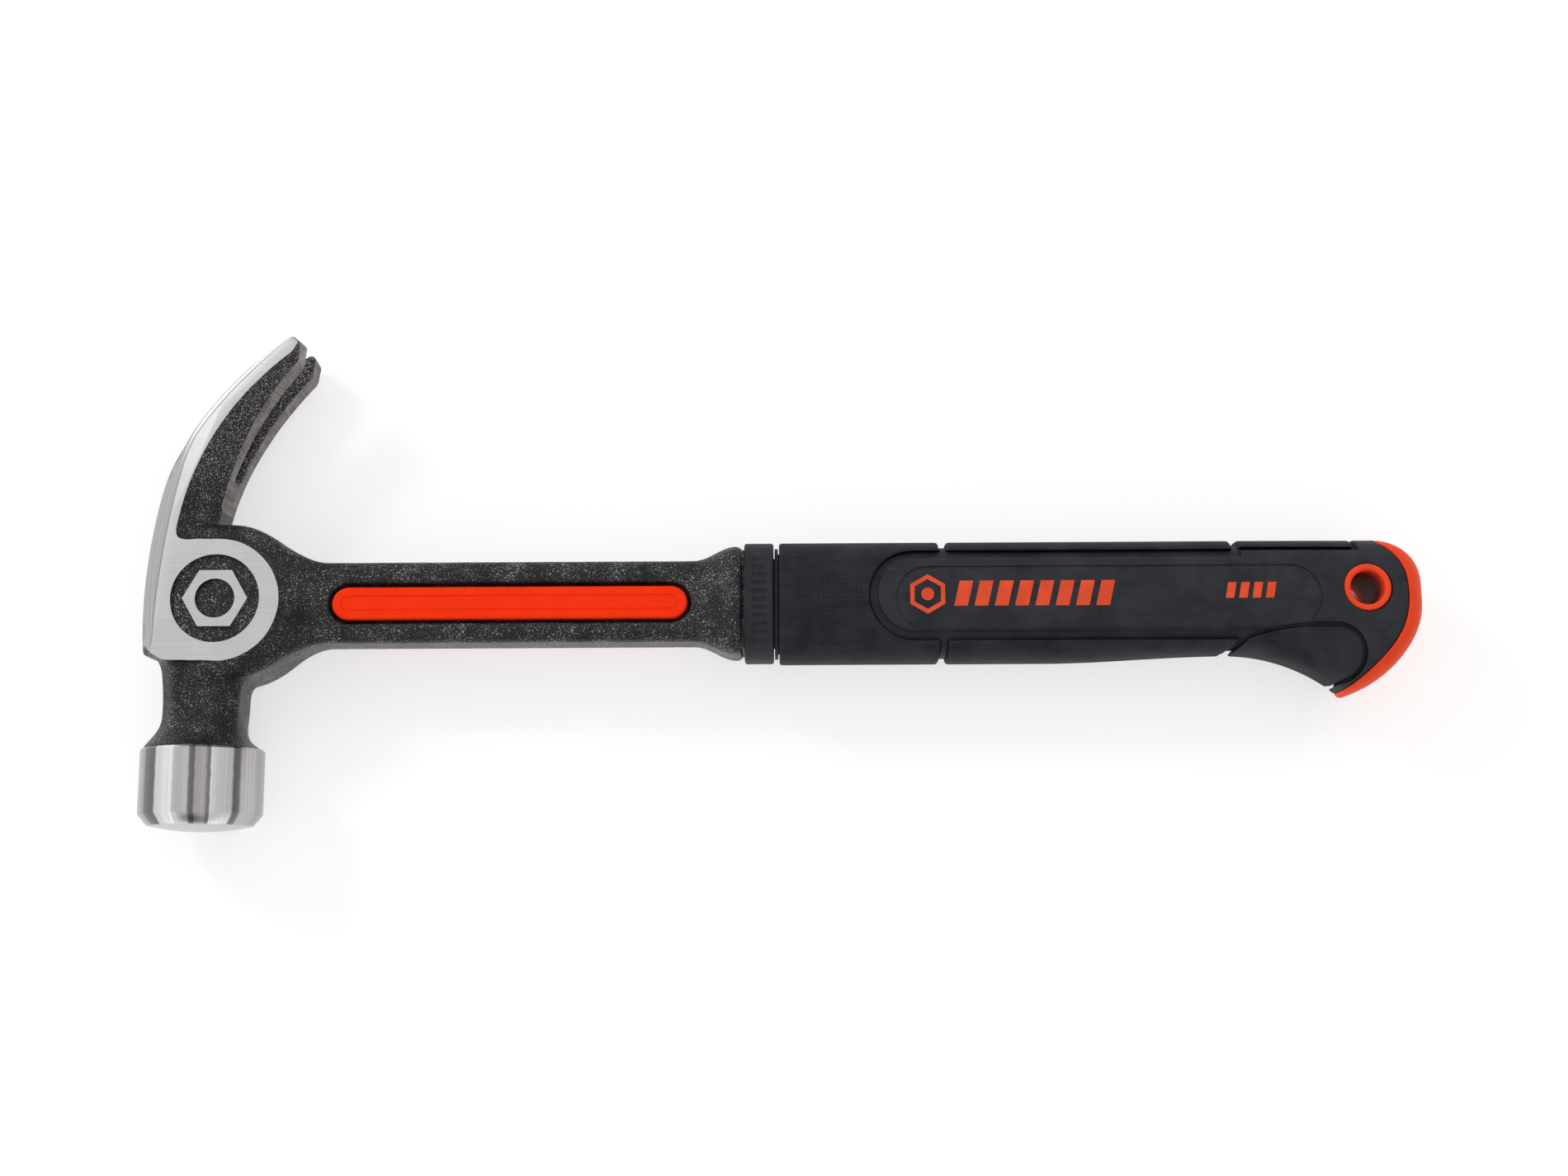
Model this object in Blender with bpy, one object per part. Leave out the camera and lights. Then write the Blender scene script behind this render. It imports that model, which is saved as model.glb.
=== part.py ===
"""One-piece forged claw hammer with an orange-trimmed moulded grip, lying on its side.

Hammer frame: X runs from the bell's axis to the butt, Y from the handle's centre line towards the claws, and
Z from the middle plane of the forging to its front side. The empty "hammer_frame" carries every piece and
stands so that the bottom centre of the hammer's bounding box is the world origin, the bell's side on Z = 0.
"""

import math

import bmesh
import bpy
from mathutils import Vector

MM = 0.001
GAP = 0.3 * MM

# Head
SIDE_HALF = 14.2 * MM
BELL_RADIUS = 16.1 * MM
BELL_RIM_Y = -38.6 * MM
BELL_CHAMFER_Y = -56.0 * MM
BELL_CHAMFER_END_Y = -58.7 * MM
BELL_FACE_Y = -60.3 * MM
BELL_CHAMFER_RADIUS = 13.8 * MM
BELL_RIM_ROUND = 0.8 * MM
BELL_STEPS = 48
FACE_FLAT_RADIUS = 4.5 * MM
NECK_HALF = 10.2 * MM
NECK_TOP_Y = -10.0 * MM
NECK_WAIST_Y = -28.0 * MM
NECK_END_HALF = 15.6 * MM
NECK_ROOT_GROW = 2.0 * MM
NECK_FLARE_POWER = 2.7
NECK_SHIFT = 0.5 * MM
NECK_LEAN = 0.8 * MM
NECK_RINGS = 14
CHEEK_CENTRE = (6.0 * MM, -0.3 * MM)
CHEEK_RADIUS = 15.9 * MM
CHEEK_LEFT = -10.8 * MM
CHEEK_CORNER = 4.0 * MM
CHEEK_GROW = 4.5 * MM
CHEEK_DRAFT = 5.0 * MM
EMBLEM_CENTRE = (5.3 * MM, 0.1 * MM)
EMBLEM_RADIUS = 11.7 * MM
EMBLEM_DEPTH = 0.8 * MM

# Claws: circles in plan as (centre x, centre y, radius), met by rays from CLAW_HUB
CLAW_HUB = (67.5 * MM, 5.0 * MM)
CLAW_OUTER = (67.2 * MM, 2.8 * MM, 81.5 * MM)
CLAW_INNER = (67.8 * MM, 7.7 * MM, 74.5 * MM)
CLAW_UNDER = (91.3 * MM, 5.0 * MM, 89.6 * MM)
CHEEK_EDGE = (210.0 * MM, -12.0 * MM, 221.0 * MM)
CROWN = (109.7 * MM, -0.5 * MM, 125.0 * MM)
CLAW_START_ANGLE = -13.5
CLAW_TIP_ANGLE = 56.6
TIP_TAPER_ANGLE = 2.4
TIP_SHARE = 0.35
TIP_LEAD_ANGLE = 1.1
UNDER_HALF_ROOT = 6.0 * MM
UNDER_HALF_TIP = 12.0 * MM
CROWN_HALF = 9.0 * MM
CROWN_END_ANGLES = (15.0, 38.0)
UNDER_WIDEN_ANGLE = 12.0
CLAW_STEPS = 18
SLOT_ROOT = (3.2 * MM, 36.0 * MM)
SLOT_TIP = (28.0 * MM, 78.0 * MM)
SLOT_REACH = 14.0 * MM
SLOT_ROOT_HALVES = (1.0 * MM, 3.4 * MM)
SLOT_TIP_HALVES = (4.0 * MM, 5.6 * MM)

# Shank and tang
SHANK_HALF_HEIGHT = 10.95 * MM
SHANK_HALF_THICK = 7.6 * MM
SHANK_FLARE_X = (10.0 * MM, 33.0 * MM)
SHANK_FLARE_HEIGHT = 9.0 * MM
SHANK_FLARE_THICK = 4.4 * MM
SHANK_POWER = 5.0
SHOULDER_START_X = 131.0 * MM
SHOULDER_END_X = 144.0 * MM
SHOULDER_HALF_HEIGHT = 14.6 * MM
SHOULDER_HALF_THICK = 11.6 * MM
SHOULDER_FLAT = 2.0 * MM
TANG_START_X = 130.0 * MM
TANG_END_X = 288.0 * MM
TANG_HALF_HEIGHT = 7.5 * MM
TANG_HALF_THICK = 3.5 * MM
LOCK_HOLES_X = (175.0 * MM, 215.0 * MM, 255.0 * MM)
LOCK_HOLE_RADIUS = 3.2 * MM
INLAY_X = (34.6 * MM, 129.2 * MM)
INLAY_Y = -0.4 * MM
INLAY_HALF = 4.4 * MM
INLAY_FLOOR_Z = 5.2 * MM
INLAY_TOP_Z = 7.3 * MM
INLAY_EDGE = 0.7 * MM
RECESS_MARGIN = 0.9 * MM

# Grip
COLLAR_X = (144.4 * MM, 152.2 * MM)
COLLAR_HALVES = (16.0 * MM, 12.4 * MM)
NOSE_HALVES = (12.0 * MM, 8.6 * MM)
NOSE_OVERLAP = 4.0 * MM
SLEEVE_START_X = 153.7 * MM
GRIP_TOP_Y = 16.0 * MM
GRIP_BOTTOM_Y = -16.3 * MM
GRIP_WAIST_Y = -14.5 * MM
GRIP_HALF_THICK = 12.8 * MM
BUTT_HALF_THICK = 13.4 * MM
SWELL_X = (225.0 * MM, 274.0 * MM)
HOOK_ARC = (274.0 * MM, -61.8 * MM, 47.3 * MM)
HOOK_END_X = 302.0 * MM
CAP_TOP_ARC = (312.8 * MM, 3.2 * MM, 12.8 * MM)
CAP_LOW_ARC = (294.8 * MM, 4.4 * MM, 31.9 * MM)
CAP_LOW_START_X = 304.4 * MM
BUTT_END_X = 325.5 * MM
BUTT_ROUND = 9.0 * MM
BUTT_ROUND_SHARE = 0.45
BUTT_ROUND_POWER = 2.5
BUTT_SWELL_X = (250.0 * MM, 310.0 * MM)
SECTION_POWER = 3.0
SECTION_POINTS = 24
GROOVE_DEPTH = 0.9 * MM
PAD_DEPTH = 2.6 * MM
GROOVE_HALF = 1.1 * MM
REAR_GROOVE = 0.9 * MM
PANEL_Y = 0.55 * MM
PANEL_LEFT_X = 178.6 * MM
PANEL_HALF = 11.05 * MM
NOTCH_FRONT_X = 197.3 * MM
NOTCH_REAR_X = 275.2 * MM
LOW_NOTCH = (274.7 * MM, -13.3 * MM)
LOW_NOTCH_SLANT = 1.1
TOP_REAR_END_X = 306.6 * MM
TOP_REAR_LINE_Y = 13.2 * MM
HOOK_PAD_CORNER_Y = -11.4 * MM
HOOK_PAD_RISE = (296.0 * MM, -71.1 * MM, 62.5 * MM)
HOOK_PAD_CURL = (300.1 * MM, -15.7 * MM, 7.05 * MM)
HOOK_PAD_TIP = (299.4 * MM, -23.6 * MM)
HOOK_PAD_END_X = 298.6 * MM
LABEL_X = (184.4 * MM, 296.8 * MM)
LABEL_Y = -0.5 * MM
LABEL_HALF = 8.5 * MM
LABEL_DEPTH = 0.4 * MM
HANG_HOLE = (308.9 * MM, 1.6 * MM)
BUSHING_RADIUS = 6.3 * MM
BORE_RADIUS = 4.5 * MM

# The line between frame and cap in plan: circles as (centre x, centre y, radius), and its two ends
CAP_LINE_TOP = (303.9 * MM, 1.6 * MM, 15.9 * MM)
CAP_LINE_MIDDLE = (295.9 * MM, 0.2 * MM, 23.9 * MM)
CAP_LINE_LOW = (268.9 * MM, 24.0 * MM, 59.6 * MM)
CAP_LINE_ENDS_X = (313.7 * MM, 301.0 * MM)

FAR = 40.0 * MM


def clear_scene():
    for leftover in list(bpy.data.objects):
        bpy.data.objects.remove(leftover, do_unlink=True)


def make_material(name, colour, roughness, metallic=0.0):
    material = bpy.data.materials.new(name)
    material.use_nodes = True
    shader = material.node_tree.nodes["Principled BSDF"]
    shader.inputs["Base Color"].default_value = (*colour, 1.0)
    shader.inputs["Roughness"].default_value = roughness
    shader.inputs["Metallic"].default_value = metallic
    return material


def make_object(name, points, faces, material=None, smooth=30.0):
    """A mesh object from points and faces, with its faces turned outwards."""
    shape = bmesh.new()
    corners = [shape.verts.new(point) for point in points]
    for face in faces:
        shape.faces.new([corners[index] for index in face])
    bmesh.ops.recalc_face_normals(shape, faces=shape.faces)
    bmesh.ops.triangulate(shape, faces=shape.faces)
    mesh = bpy.data.meshes.new(name)
    shape.to_mesh(mesh)
    shape.free()
    piece = bpy.data.objects.new(name, mesh)
    bpy.context.scene.collection.objects.link(piece)
    if material:
        mesh.materials.append(material)
        mesh.shade_smooth()
        mesh.set_sharp_from_angle(angle=math.radians(smooth))
    return piece


def loft(name, rings, material=None):
    """A closed solid through rings of equal point count, with both end rings capped."""
    count = len(rings[0])
    points = [point for ring in rings for point in ring]
    faces = [list(range(count)), list(range(len(points) - count, len(points)))]
    for level in range(len(rings) - 1):
        for index in range(count):
            after = (index + 1) % count
            low = level * count
            faces.append([low + index, low + after, low + count + after, low + count + index])
    return make_object(name, points, faces, material)


def prism(name, outline, low, high, material=None):
    """An outline of (x, y) points, extruded from z = low to z = high."""
    return loft(name, [[(x, y, z) for x, y in outline] for z in (low, high)], material)


def helper(piece):
    piece.hide_render = True
    piece.display_type = "WIRE"
    return piece


def combine(piece, other, operation):
    modifier = piece.modifiers.new(operation.lower() + "_" + other.name, "BOOLEAN")
    modifier.operation = operation
    modifier.solver = "EXACT"
    modifier.object = helper(other)


def arc(centre, radius, start, end, steps):
    """Points on a circle from start to end, in degrees."""
    angles = [math.radians(start + (end - start) * step / steps) for step in range(steps + 1)]
    return [(centre[0] + radius * math.cos(a), centre[1] + radius * math.sin(a)) for a in angles]


def disc(centre, radius, steps=32):
    return arc(centre, radius, 0.0, 360.0 * (steps - 1) / steps, steps - 1)


def stadium(span, middle, half, steps=10):
    """A slot with round ends, from span[0] to span[1] along X."""
    right = arc((span[1] - half, middle), half, -90.0, 90.0, steps)
    left = arc((span[0] + half, middle), half, 90.0, 270.0, steps)
    return right + left


def smoothstep(value):
    value = min(max(value, 0.0), 1.0)
    return value * value * (3.0 - 2.0 * value)


def mix(first, second, share):
    return first + (second - first) * share


def ray_to_circle(angle, circle):
    """The far point where a ray from CLAW_HUB, angle degrees above -X, meets a circle."""
    direction = Vector((-math.cos(math.radians(angle)), math.sin(math.radians(angle))))
    start = Vector(CLAW_HUB) - Vector(circle[:2])
    along = start.dot(direction)
    reach = -along + math.sqrt(along * along - start.length_squared + circle[2] ** 2)
    return Vector(CLAW_HUB) + direction * reach


def claw_station(angle):
    """One cross-section of crown and claws: a flat outer face, side faces, drafted walls, flat underside."""
    hub = Vector(CLAW_HUB)
    outer = ray_to_circle(angle, CLAW_OUTER)
    cheek = ray_to_circle(angle, CHEEK_EDGE)
    side = min(outer, cheek, key=lambda point: (point - hub).length)
    tip = smoothstep((angle - CLAW_TIP_ANGLE + TIP_TAPER_ANGLE) / TIP_TAPER_ANGLE)
    middle_angle = angle + TIP_LEAD_ANGLE * tip
    middle = ray_to_circle(middle_angle, CLAW_OUTER)
    crown_end = smoothstep((angle - CROWN_END_ANGLES[0]) / (CROWN_END_ANGLES[1] - CROWN_END_ANGLES[0]))
    crown = ray_to_circle(middle_angle, CROWN).lerp(middle, crown_end)
    inner = outer.lerp(ray_to_circle(angle, CLAW_INNER), mix(1.0, TIP_SHARE, tip))
    under = middle.lerp(ray_to_circle(middle_angle, CLAW_UNDER), mix(1.0, TIP_SHARE, tip))
    rise = smoothstep((angle - UNDER_WIDEN_ANGLE) / (CLAW_TIP_ANGLE - UNDER_WIDEN_ANGLE))
    under_half = mix(UNDER_HALF_ROOT, UNDER_HALF_TIP, rise)
    half = [(crown, CROWN_HALF), (side, SIDE_HALF), (inner, SIDE_HALF), (under, under_half)]
    ring = [(point.x, point.y, height) for point, height in half]
    return ring + [(x, y, -z) for x, y, z in reversed(ring)]


def make_claws():
    span = CLAW_TIP_ANGLE - TIP_TAPER_ANGLE - CLAW_START_ANGLE
    angles = [CLAW_START_ANGLE + span * step / CLAW_STEPS for step in range(CLAW_STEPS + 1)]
    angles += [CLAW_TIP_ANGLE - 0.5 * TIP_TAPER_ANGLE, CLAW_TIP_ANGLE]
    return loft("claws", [claw_station(angle) for angle in angles])


def make_nail_slot():
    """A wedge from the slot's root out past the claw tips, wider on the claws' hollow side."""
    root, tip = Vector(SLOT_ROOT), Vector(SLOT_TIP)
    along = (tip - root).normalized()
    across = Vector((-along.y, along.x)) * SLOT_REACH
    rings = []
    for point, (outer, under) in ((root, SLOT_ROOT_HALVES), (tip, SLOT_TIP_HALVES)):
        inside, outside = point - across, point + across
        corners = [(inside, -under), (outside, -outer), (outside, outer), (inside, under)]
        rings.append([(corner.x, corner.y, z) for corner, z in corners])
    return loft("nail_slot", rings)


def cheek_outline(grow):
    """The raised cheek in plan: straight left side, rounded lower corner, and round right side that grows."""
    radius = CHEEK_RADIUS + grow
    corner = CHEEK_CORNER
    low = CHEEK_CENTRE[1] - CHEEK_RADIUS
    high = CHEEK_CENTRE[1] + radius
    round_side = arc(CHEEK_CENTRE, radius, -90.0, 90.0, 16)
    low_corner = arc((CHEEK_LEFT + corner, low + corner), corner, 180.0, 270.0, 4)
    return round_side + [(CHEEK_LEFT, high)] + low_corner


def make_cheeks():
    """The cheek block: full size near the middle plane, drawn in towards both ground side faces."""
    inside = SIDE_HALF - CHEEK_DRAFT
    levels = ((-SIDE_HALF, 0.0), (-inside, CHEEK_GROW), (inside, CHEEK_GROW), (SIDE_HALF, 0.0))
    return loft("cheeks", [[(x, y, z) for x, y in cheek_outline(grow)] for z, grow in levels])


def superellipse(half_a, half_b, power, count=SECTION_POINTS):
    """Points round a superellipse: power 2 is an ellipse, and higher powers are squarer."""
    points = []
    for step in range(count):
        angle = 2.0 * math.pi * (step + 0.5) / count
        cosine, sine = math.cos(angle), math.sin(angle)
        a = half_a * math.copysign(abs(cosine) ** (2.0 / power), cosine)
        b = half_b * math.copysign(abs(sine) ** (2.0 / power), sine)
        points.append((a, b))
    return points


def make_neck():
    """A chamfered square column that turns round as it flares out to the bell, first on its outer side."""
    rings = []
    for step in range(NECK_RINGS):
        y = mix(NECK_TOP_Y, BELL_RIM_Y - MM, step / (NECK_RINGS - 1))
        flare = min(max(0.0, (NECK_WAIST_Y - y) / (NECK_WAIST_Y - BELL_RIM_Y)), 1.0)
        root = max(0.0, (y - NECK_WAIST_Y) / (NECK_TOP_Y - NECK_WAIST_Y))
        half = mix(NECK_HALF, NECK_END_HALF, flare ** NECK_FLARE_POWER) + NECK_ROOT_GROW * root ** 2
        lean = NECK_SHIFT * (1.0 - flare) - NECK_LEAN * math.sin(math.pi * flare ** 3)
        power = mix(3.4, 2.0, smoothstep(flare))
        rings.append([(lean + a, y, b) for a, b in superellipse(half, half, power)])
    return loft("neck", rings)


def make_bell():
    """The turned bell: back rim, barrel, chamfer and a slightly crowned face with a flat middle."""
    crown_rise = BELL_CHAMFER_END_Y - BELL_FACE_Y
    profile = [(BELL_RIM_Y, BELL_RADIUS - BELL_RIM_ROUND), (BELL_RIM_Y - BELL_RIM_ROUND, BELL_RADIUS)]
    profile += [(BELL_CHAMFER_Y, BELL_RADIUS), (BELL_CHAMFER_END_Y, BELL_CHAMFER_RADIUS)]
    for share in (0.75, 0.5):
        profile.append((BELL_FACE_Y + crown_rise * share ** 2, BELL_CHAMFER_RADIUS * share))
    profile.append((BELL_FACE_Y, FACE_FLAT_RADIUS))
    rings = [[(x, y, z) for x, z in disc((0.0, 0.0), radius, BELL_STEPS)] for y, radius in profile]
    return loft("bell", rings)


def shank_halves(x):
    """Half height and half thickness of the shank, flared into the head and into the shoulder."""
    head = 1.0 - smoothstep((x - SHANK_FLARE_X[0]) / (SHANK_FLARE_X[1] - SHANK_FLARE_X[0]))
    shoulder = smoothstep((x - SHOULDER_START_X) / (SHOULDER_END_X - SHOULDER_FLAT - SHOULDER_START_X))
    height = mix(SHANK_HALF_HEIGHT, SHOULDER_HALF_HEIGHT, shoulder) + SHANK_FLARE_HEIGHT * head
    thick = mix(SHANK_HALF_THICK, SHOULDER_HALF_THICK, shoulder) + SHANK_FLARE_THICK * head
    return height, thick


def make_shank():
    stations = [step * 4.0 * MM for step in range(10)]
    stations += [SHOULDER_START_X + (SHOULDER_END_X - SHOULDER_START_X) * step / 6.0 for step in range(7)]
    rings = []
    for x in stations:
        height, thick = shank_halves(x)
        rings.append([(x, a, b) for a, b in superellipse(height, thick, SHANK_POWER)])
    return loft("shank", rings)


def make_tang(name, grow):
    """The flat tang, or with grow above zero the cavity round it."""
    high = TANG_HALF_HEIGHT + grow
    thick = TANG_HALF_THICK + grow
    end = TANG_END_X + grow
    outline = [(TANG_START_X, -high), (end, -high), (end, high), (TANG_START_X, high)]
    return prism(name, outline, -thick, thick)


def make_drilled_tang():
    tang = make_tang("tang", 0.0)
    for index, x in enumerate(LOCK_HOLES_X):
        hole = prism(f"lock_hole_{index}", disc((x, 0.0), LOCK_HOLE_RADIUS, 16), -SIDE_HALF, SIDE_HALF)
        combine(tang, hole, "DIFFERENCE")
    return tang


def cut_recesses(body, side):
    """Takes the emblem disc and the inlay's bed from one side of the forging."""
    name = "front" if side > 0.0 else "back"
    low, high = sorted((side * (SIDE_HALF - EMBLEM_DEPTH), side * FAR))
    outline = disc(EMBLEM_CENTRE, EMBLEM_RADIUS, 40)
    combine(body, prism("emblem_recess_" + name, outline, low, high), "DIFFERENCE")
    span = (INLAY_X[0] - RECESS_MARGIN, INLAY_X[1] + RECESS_MARGIN)
    outline = stadium(span, INLAY_Y, INLAY_HALF + RECESS_MARGIN)
    low, high = sorted((side * (INLAY_FLOOR_Z - GAP), side * SIDE_HALF))
    combine(body, prism("inlay_recess_" + name, outline, low, high), "DIFFERENCE")


def make_forged_body(material):
    """Claws, cheeks, neck, bell, shank and tang in one forging, ground flat on both sides."""
    body = make_shank()
    body.name = "forged_body"
    body.data.materials.append(material)
    for other in (make_claws(), make_cheeks(), make_neck(), make_bell(), make_drilled_tang()):
        combine(body, other, "UNION")
    combine(body, make_nail_slot(), "DIFFERENCE")
    for side in (-1.0, 1.0):
        cut_recesses(body, side)
    return body


def make_inlay(side, material):
    """An orange strip with its outer edge drawn in."""
    levels = ((INLAY_FLOOR_Z, 0.0), (INLAY_TOP_Z - INLAY_EDGE, 0.0), (INLAY_TOP_Z, INLAY_EDGE))
    rings = []
    for z, inset in levels:
        span = (INLAY_X[0] + inset, INLAY_X[1] - inset)
        outline = stadium(span, INLAY_Y, INLAY_HALF - inset)
        rings.append([(x, y, side * z) for x, y in outline])
    return loft("shank_inlay_front" if side > 0.0 else "shank_inlay_back", rings, material)


def grip_top(x):
    if x < CAP_TOP_ARC[0]:
        return GRIP_TOP_Y
    return CAP_TOP_ARC[1] + math.sqrt(CAP_TOP_ARC[2] ** 2 - (x - CAP_TOP_ARC[0]) ** 2)


def grip_bottom(x):
    """Lower edge in plan: a slow swell, then the hook's hollow, its tip, and the round of the butt."""
    if x < SWELL_X[1]:
        return mix(GRIP_BOTTOM_Y, GRIP_WAIST_Y, smoothstep((x - SWELL_X[0]) / (SWELL_X[1] - SWELL_X[0])))
    if x < HOOK_END_X:
        return HOOK_ARC[1] + math.sqrt(HOOK_ARC[2] ** 2 - (x - HOOK_ARC[0]) ** 2)
    if x < CAP_LOW_START_X:
        share = (x - HOOK_END_X) / (CAP_LOW_START_X - HOOK_END_X)
        return mix(grip_bottom(HOOK_END_X - 1e-6), grip_bottom(CAP_LOW_START_X), share)
    return CAP_LOW_ARC[1] - math.sqrt(CAP_LOW_ARC[2] ** 2 - (x - CAP_LOW_ARC[0]) ** 2)


def grip_half_thick(x):
    """Half thickness: nearly even, and rounded over in the last stretch before the butt's end."""
    swell = smoothstep((x - BUTT_SWELL_X[0]) / (BUTT_SWELL_X[1] - BUTT_SWELL_X[0]))
    full = mix(GRIP_HALF_THICK, BUTT_HALF_THICK, swell)
    over = max(0.0, (x - BUTT_END_X + BUTT_ROUND) / BUTT_ROUND)
    return full * (1.0 - BUTT_ROUND_SHARE * min(over, 1.0) ** BUTT_ROUND_POWER)


def grip_envelope(name, inset, start):
    """The grip's outer shape, drawn in by inset, from start to the butt."""
    regular = [start + (HOOK_ARC[0] - start) * step / 12.0 for step in range(13)]
    hook = [HOOK_ARC[0] + (HOOK_END_X - HOOK_ARC[0]) * step / 6.0 for step in range(1, 7)]
    butt_length = BUTT_END_X - CAP_LOW_START_X
    butt = [CAP_LOW_START_X + butt_length * math.sin(math.pi / 16.0 * step) for step in range(9)]
    rings = []
    for x in regular + hook + butt:
        high, low = grip_top(x) - inset, grip_bottom(x) + inset
        section = superellipse(0.5 * (high - low), grip_half_thick(x) - inset, SECTION_POWER)
        rings.append([(x, 0.5 * (high + low) + a, b) for a, b in section])
    return loft(name, rings)


def low_notch_x(y):
    """Middle of the slanted notch in front of the hook pad, at height y in plan."""
    return LOW_NOTCH[0] + LOW_NOTCH_SLANT * (y - LOW_NOTCH[1])


def panel_outline(grow):
    """The racket-shaped side panel in plan, and the whole butt behind it.

    grow is measured out from the centre line of the groove round the panel.
    """
    half = PANEL_HALF + grow
    start = PANEL_LEFT_X - grow + half
    rear = NOTCH_REAR_X + GROOVE_HALF
    low, high = PANEL_Y - half, PANEL_Y + half
    notch = [(low_notch_x(y) + GROOVE_HALF, y) for y in (low, -FAR)]
    butt = [(BUTT_END_X + FAR, -FAR), (BUTT_END_X + FAR, FAR), (rear, FAR), (rear, high)]
    return arc((start, PANEL_Y), half, 90.0, 270.0, 16) + notch + butt


def pad_regions(shrink):
    """Plan outlines of the soft pads, drawn in by shrink from their pockets."""
    low = PANEL_Y - PANEL_HALF - GROOVE_HALF - shrink
    high = PANEL_Y + PANEL_HALF + GROOVE_HALF + shrink
    front = NOTCH_FRONT_X + GROOVE_HALF + shrink
    middle = NOTCH_REAR_X - GROOVE_HALF - shrink
    rear = NOTCH_REAR_X + GROOVE_HALF + shrink
    top_rear_end = TOP_REAR_END_X - shrink
    line = TOP_REAR_LINE_Y + shrink
    notch = [(low_notch_x(y) - GROOVE_HALF - shrink, y) for y in (-FAR, low)]
    return {
        "top_front_pad": [(front, high), (middle, high), (middle, FAR), (front, FAR)],
        "bottom_front_pad": [(front, -FAR)] + notch + [(front, low)],
        "top_rear_pad": [(rear, line), (top_rear_end, line), (top_rear_end, FAR), (rear, FAR)],
        "bottom_rear_pad": hook_pad_outline(shrink),
    }


def hook_pad_outline(shrink):
    """The little-finger pad in plan: a slowly rising upper edge, and a curl round the hook's tip."""
    corner_y = HOOK_PAD_CORNER_Y - shrink
    notch = [(low_notch_x(y) + GROOVE_HALF + shrink, y) for y in (-FAR, corner_y)]
    upper = arc(HOOK_PAD_RISE[:2], HOOK_PAD_RISE[2] - shrink, 105.0, 88.0, 5)
    curl = arc(HOOK_PAD_CURL[:2], HOOK_PAD_CURL[2] - shrink, 84.0, -65.0, 10)
    tip = [(HOOK_PAD_TIP[0] - shrink, HOOK_PAD_TIP[1]), (HOOK_PAD_END_X - shrink, -FAR)]
    return notch + upper + curl + tip


def sleeve_region(shrink):
    end = NOTCH_FRONT_X - GROOVE_HALF - shrink
    start = SLEEVE_START_X + shrink
    return [(start, -FAR), (end, -FAR), (end, FAR), (start, FAR)]


def make_pad(name, outline, cut_panel, material):
    """A shell of the grip's envelope, PAD_DEPTH thick, inside one plan outline."""
    pad = grip_envelope(name, 0.0, SLEEVE_START_X - 5.0 * MM)
    pad.data.materials.append(material)
    combine(pad, grip_envelope(name + "_inside", PAD_DEPTH, SLEEVE_START_X - 6.0 * MM), "DIFFERENCE")
    combine(pad, prism(name + "_region", outline, -FAR, FAR), "INTERSECT")
    if cut_panel:
        combine(pad, prism(name + "_panel", panel_outline(GROOVE_HALF), -FAR, FAR), "DIFFERENCE")
    return pad


def make_pocket(name, outline, cut_panel):
    """What a pad's pocket takes from the frame: everything outside the pad's floor."""
    pocket = prism(name + "_pocket", outline, -FAR, FAR)
    if cut_panel:
        panel = prism(name + "_pocket_panel", panel_outline(GROOVE_HALF - GAP), -FAR, FAR)
        combine(pocket, panel, "DIFFERENCE")
    combine(pocket, grip_envelope(name + "_floor", PAD_DEPTH + GAP, SLEEVE_START_X - 7.0 * MM), "DIFFERENCE")
    return pocket


def cap_line(shift):
    """The line in plan between frame and cap, moved towards the butt by shift."""
    top = arc(CAP_LINE_TOP[:2], CAP_LINE_TOP[2], 52.0, 12.0, 6)
    middle = arc(CAP_LINE_MIDDLE[:2], CAP_LINE_MIDDLE[2], 6.0, -24.0, 5)
    low = arc(CAP_LINE_LOW[:2], CAP_LINE_LOW[2], -38.0, -58.0, 5)
    line = [(CAP_LINE_ENDS_X[0], FAR)] + top + middle + low + [(CAP_LINE_ENDS_X[1], -FAR)]
    return [(x + shift, y) for x, y in line]


def cap_region(shift):
    return cap_line(shift) + [(BUTT_END_X + FAR, -FAR), (BUTT_END_X + FAR, FAR)]


def make_label_cutter():
    """What the shallow label recesses take from both side panels."""
    cutter = prism("label_recess", stadium(LABEL_X, LABEL_Y, LABEL_HALF), -FAR, FAR)
    combine(cutter, grip_envelope("label_floor", LABEL_DEPTH, SLEEVE_START_X), "DIFFERENCE")
    return cutter


def make_nose():
    """The round-cornered block at the frame's front that carries the collar."""
    outline = superellipse(*NOSE_HALVES, SECTION_POWER)
    stations = (COLLAR_X[0], SLEEVE_START_X + NOSE_OVERLAP)
    return loft("nose", [[(x, a, b) for a, b in outline] for x in stations])


def make_side_panels():
    """The full-height side panels, with grooves round the rear pads and a shallow label recess."""
    panels = grip_envelope("panels", 0.0, SLEEVE_START_X)
    combine(panels, prism("panels_region", panel_outline(-GROOVE_HALF), -FAR, FAR), "INTERSECT")
    rear_pads = pad_regions(-REAR_GROOVE)
    for name in ("top_rear_pad", "bottom_rear_pad"):
        combine(panels, prism(name + "_groove", rear_pads[name], -FAR, FAR), "DIFFERENCE")
    combine(panels, make_label_cutter(), "DIFFERENCE")
    return panels


def fit_round_tang(frame):
    """Hollows the frame for the tang, and adds the posts that fill the tang's lock holes."""
    combine(frame, make_tang("tang_cavity", GAP), "DIFFERENCE")
    post_half = TANG_HALF_THICK + MM
    for index, x in enumerate(LOCK_HOLES_X):
        outline = disc((x, 0.0), LOCK_HOLE_RADIUS - GAP, 16)
        combine(frame, prism(f"lock_post_{index}", outline, -post_half, post_half), "UNION")


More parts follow.
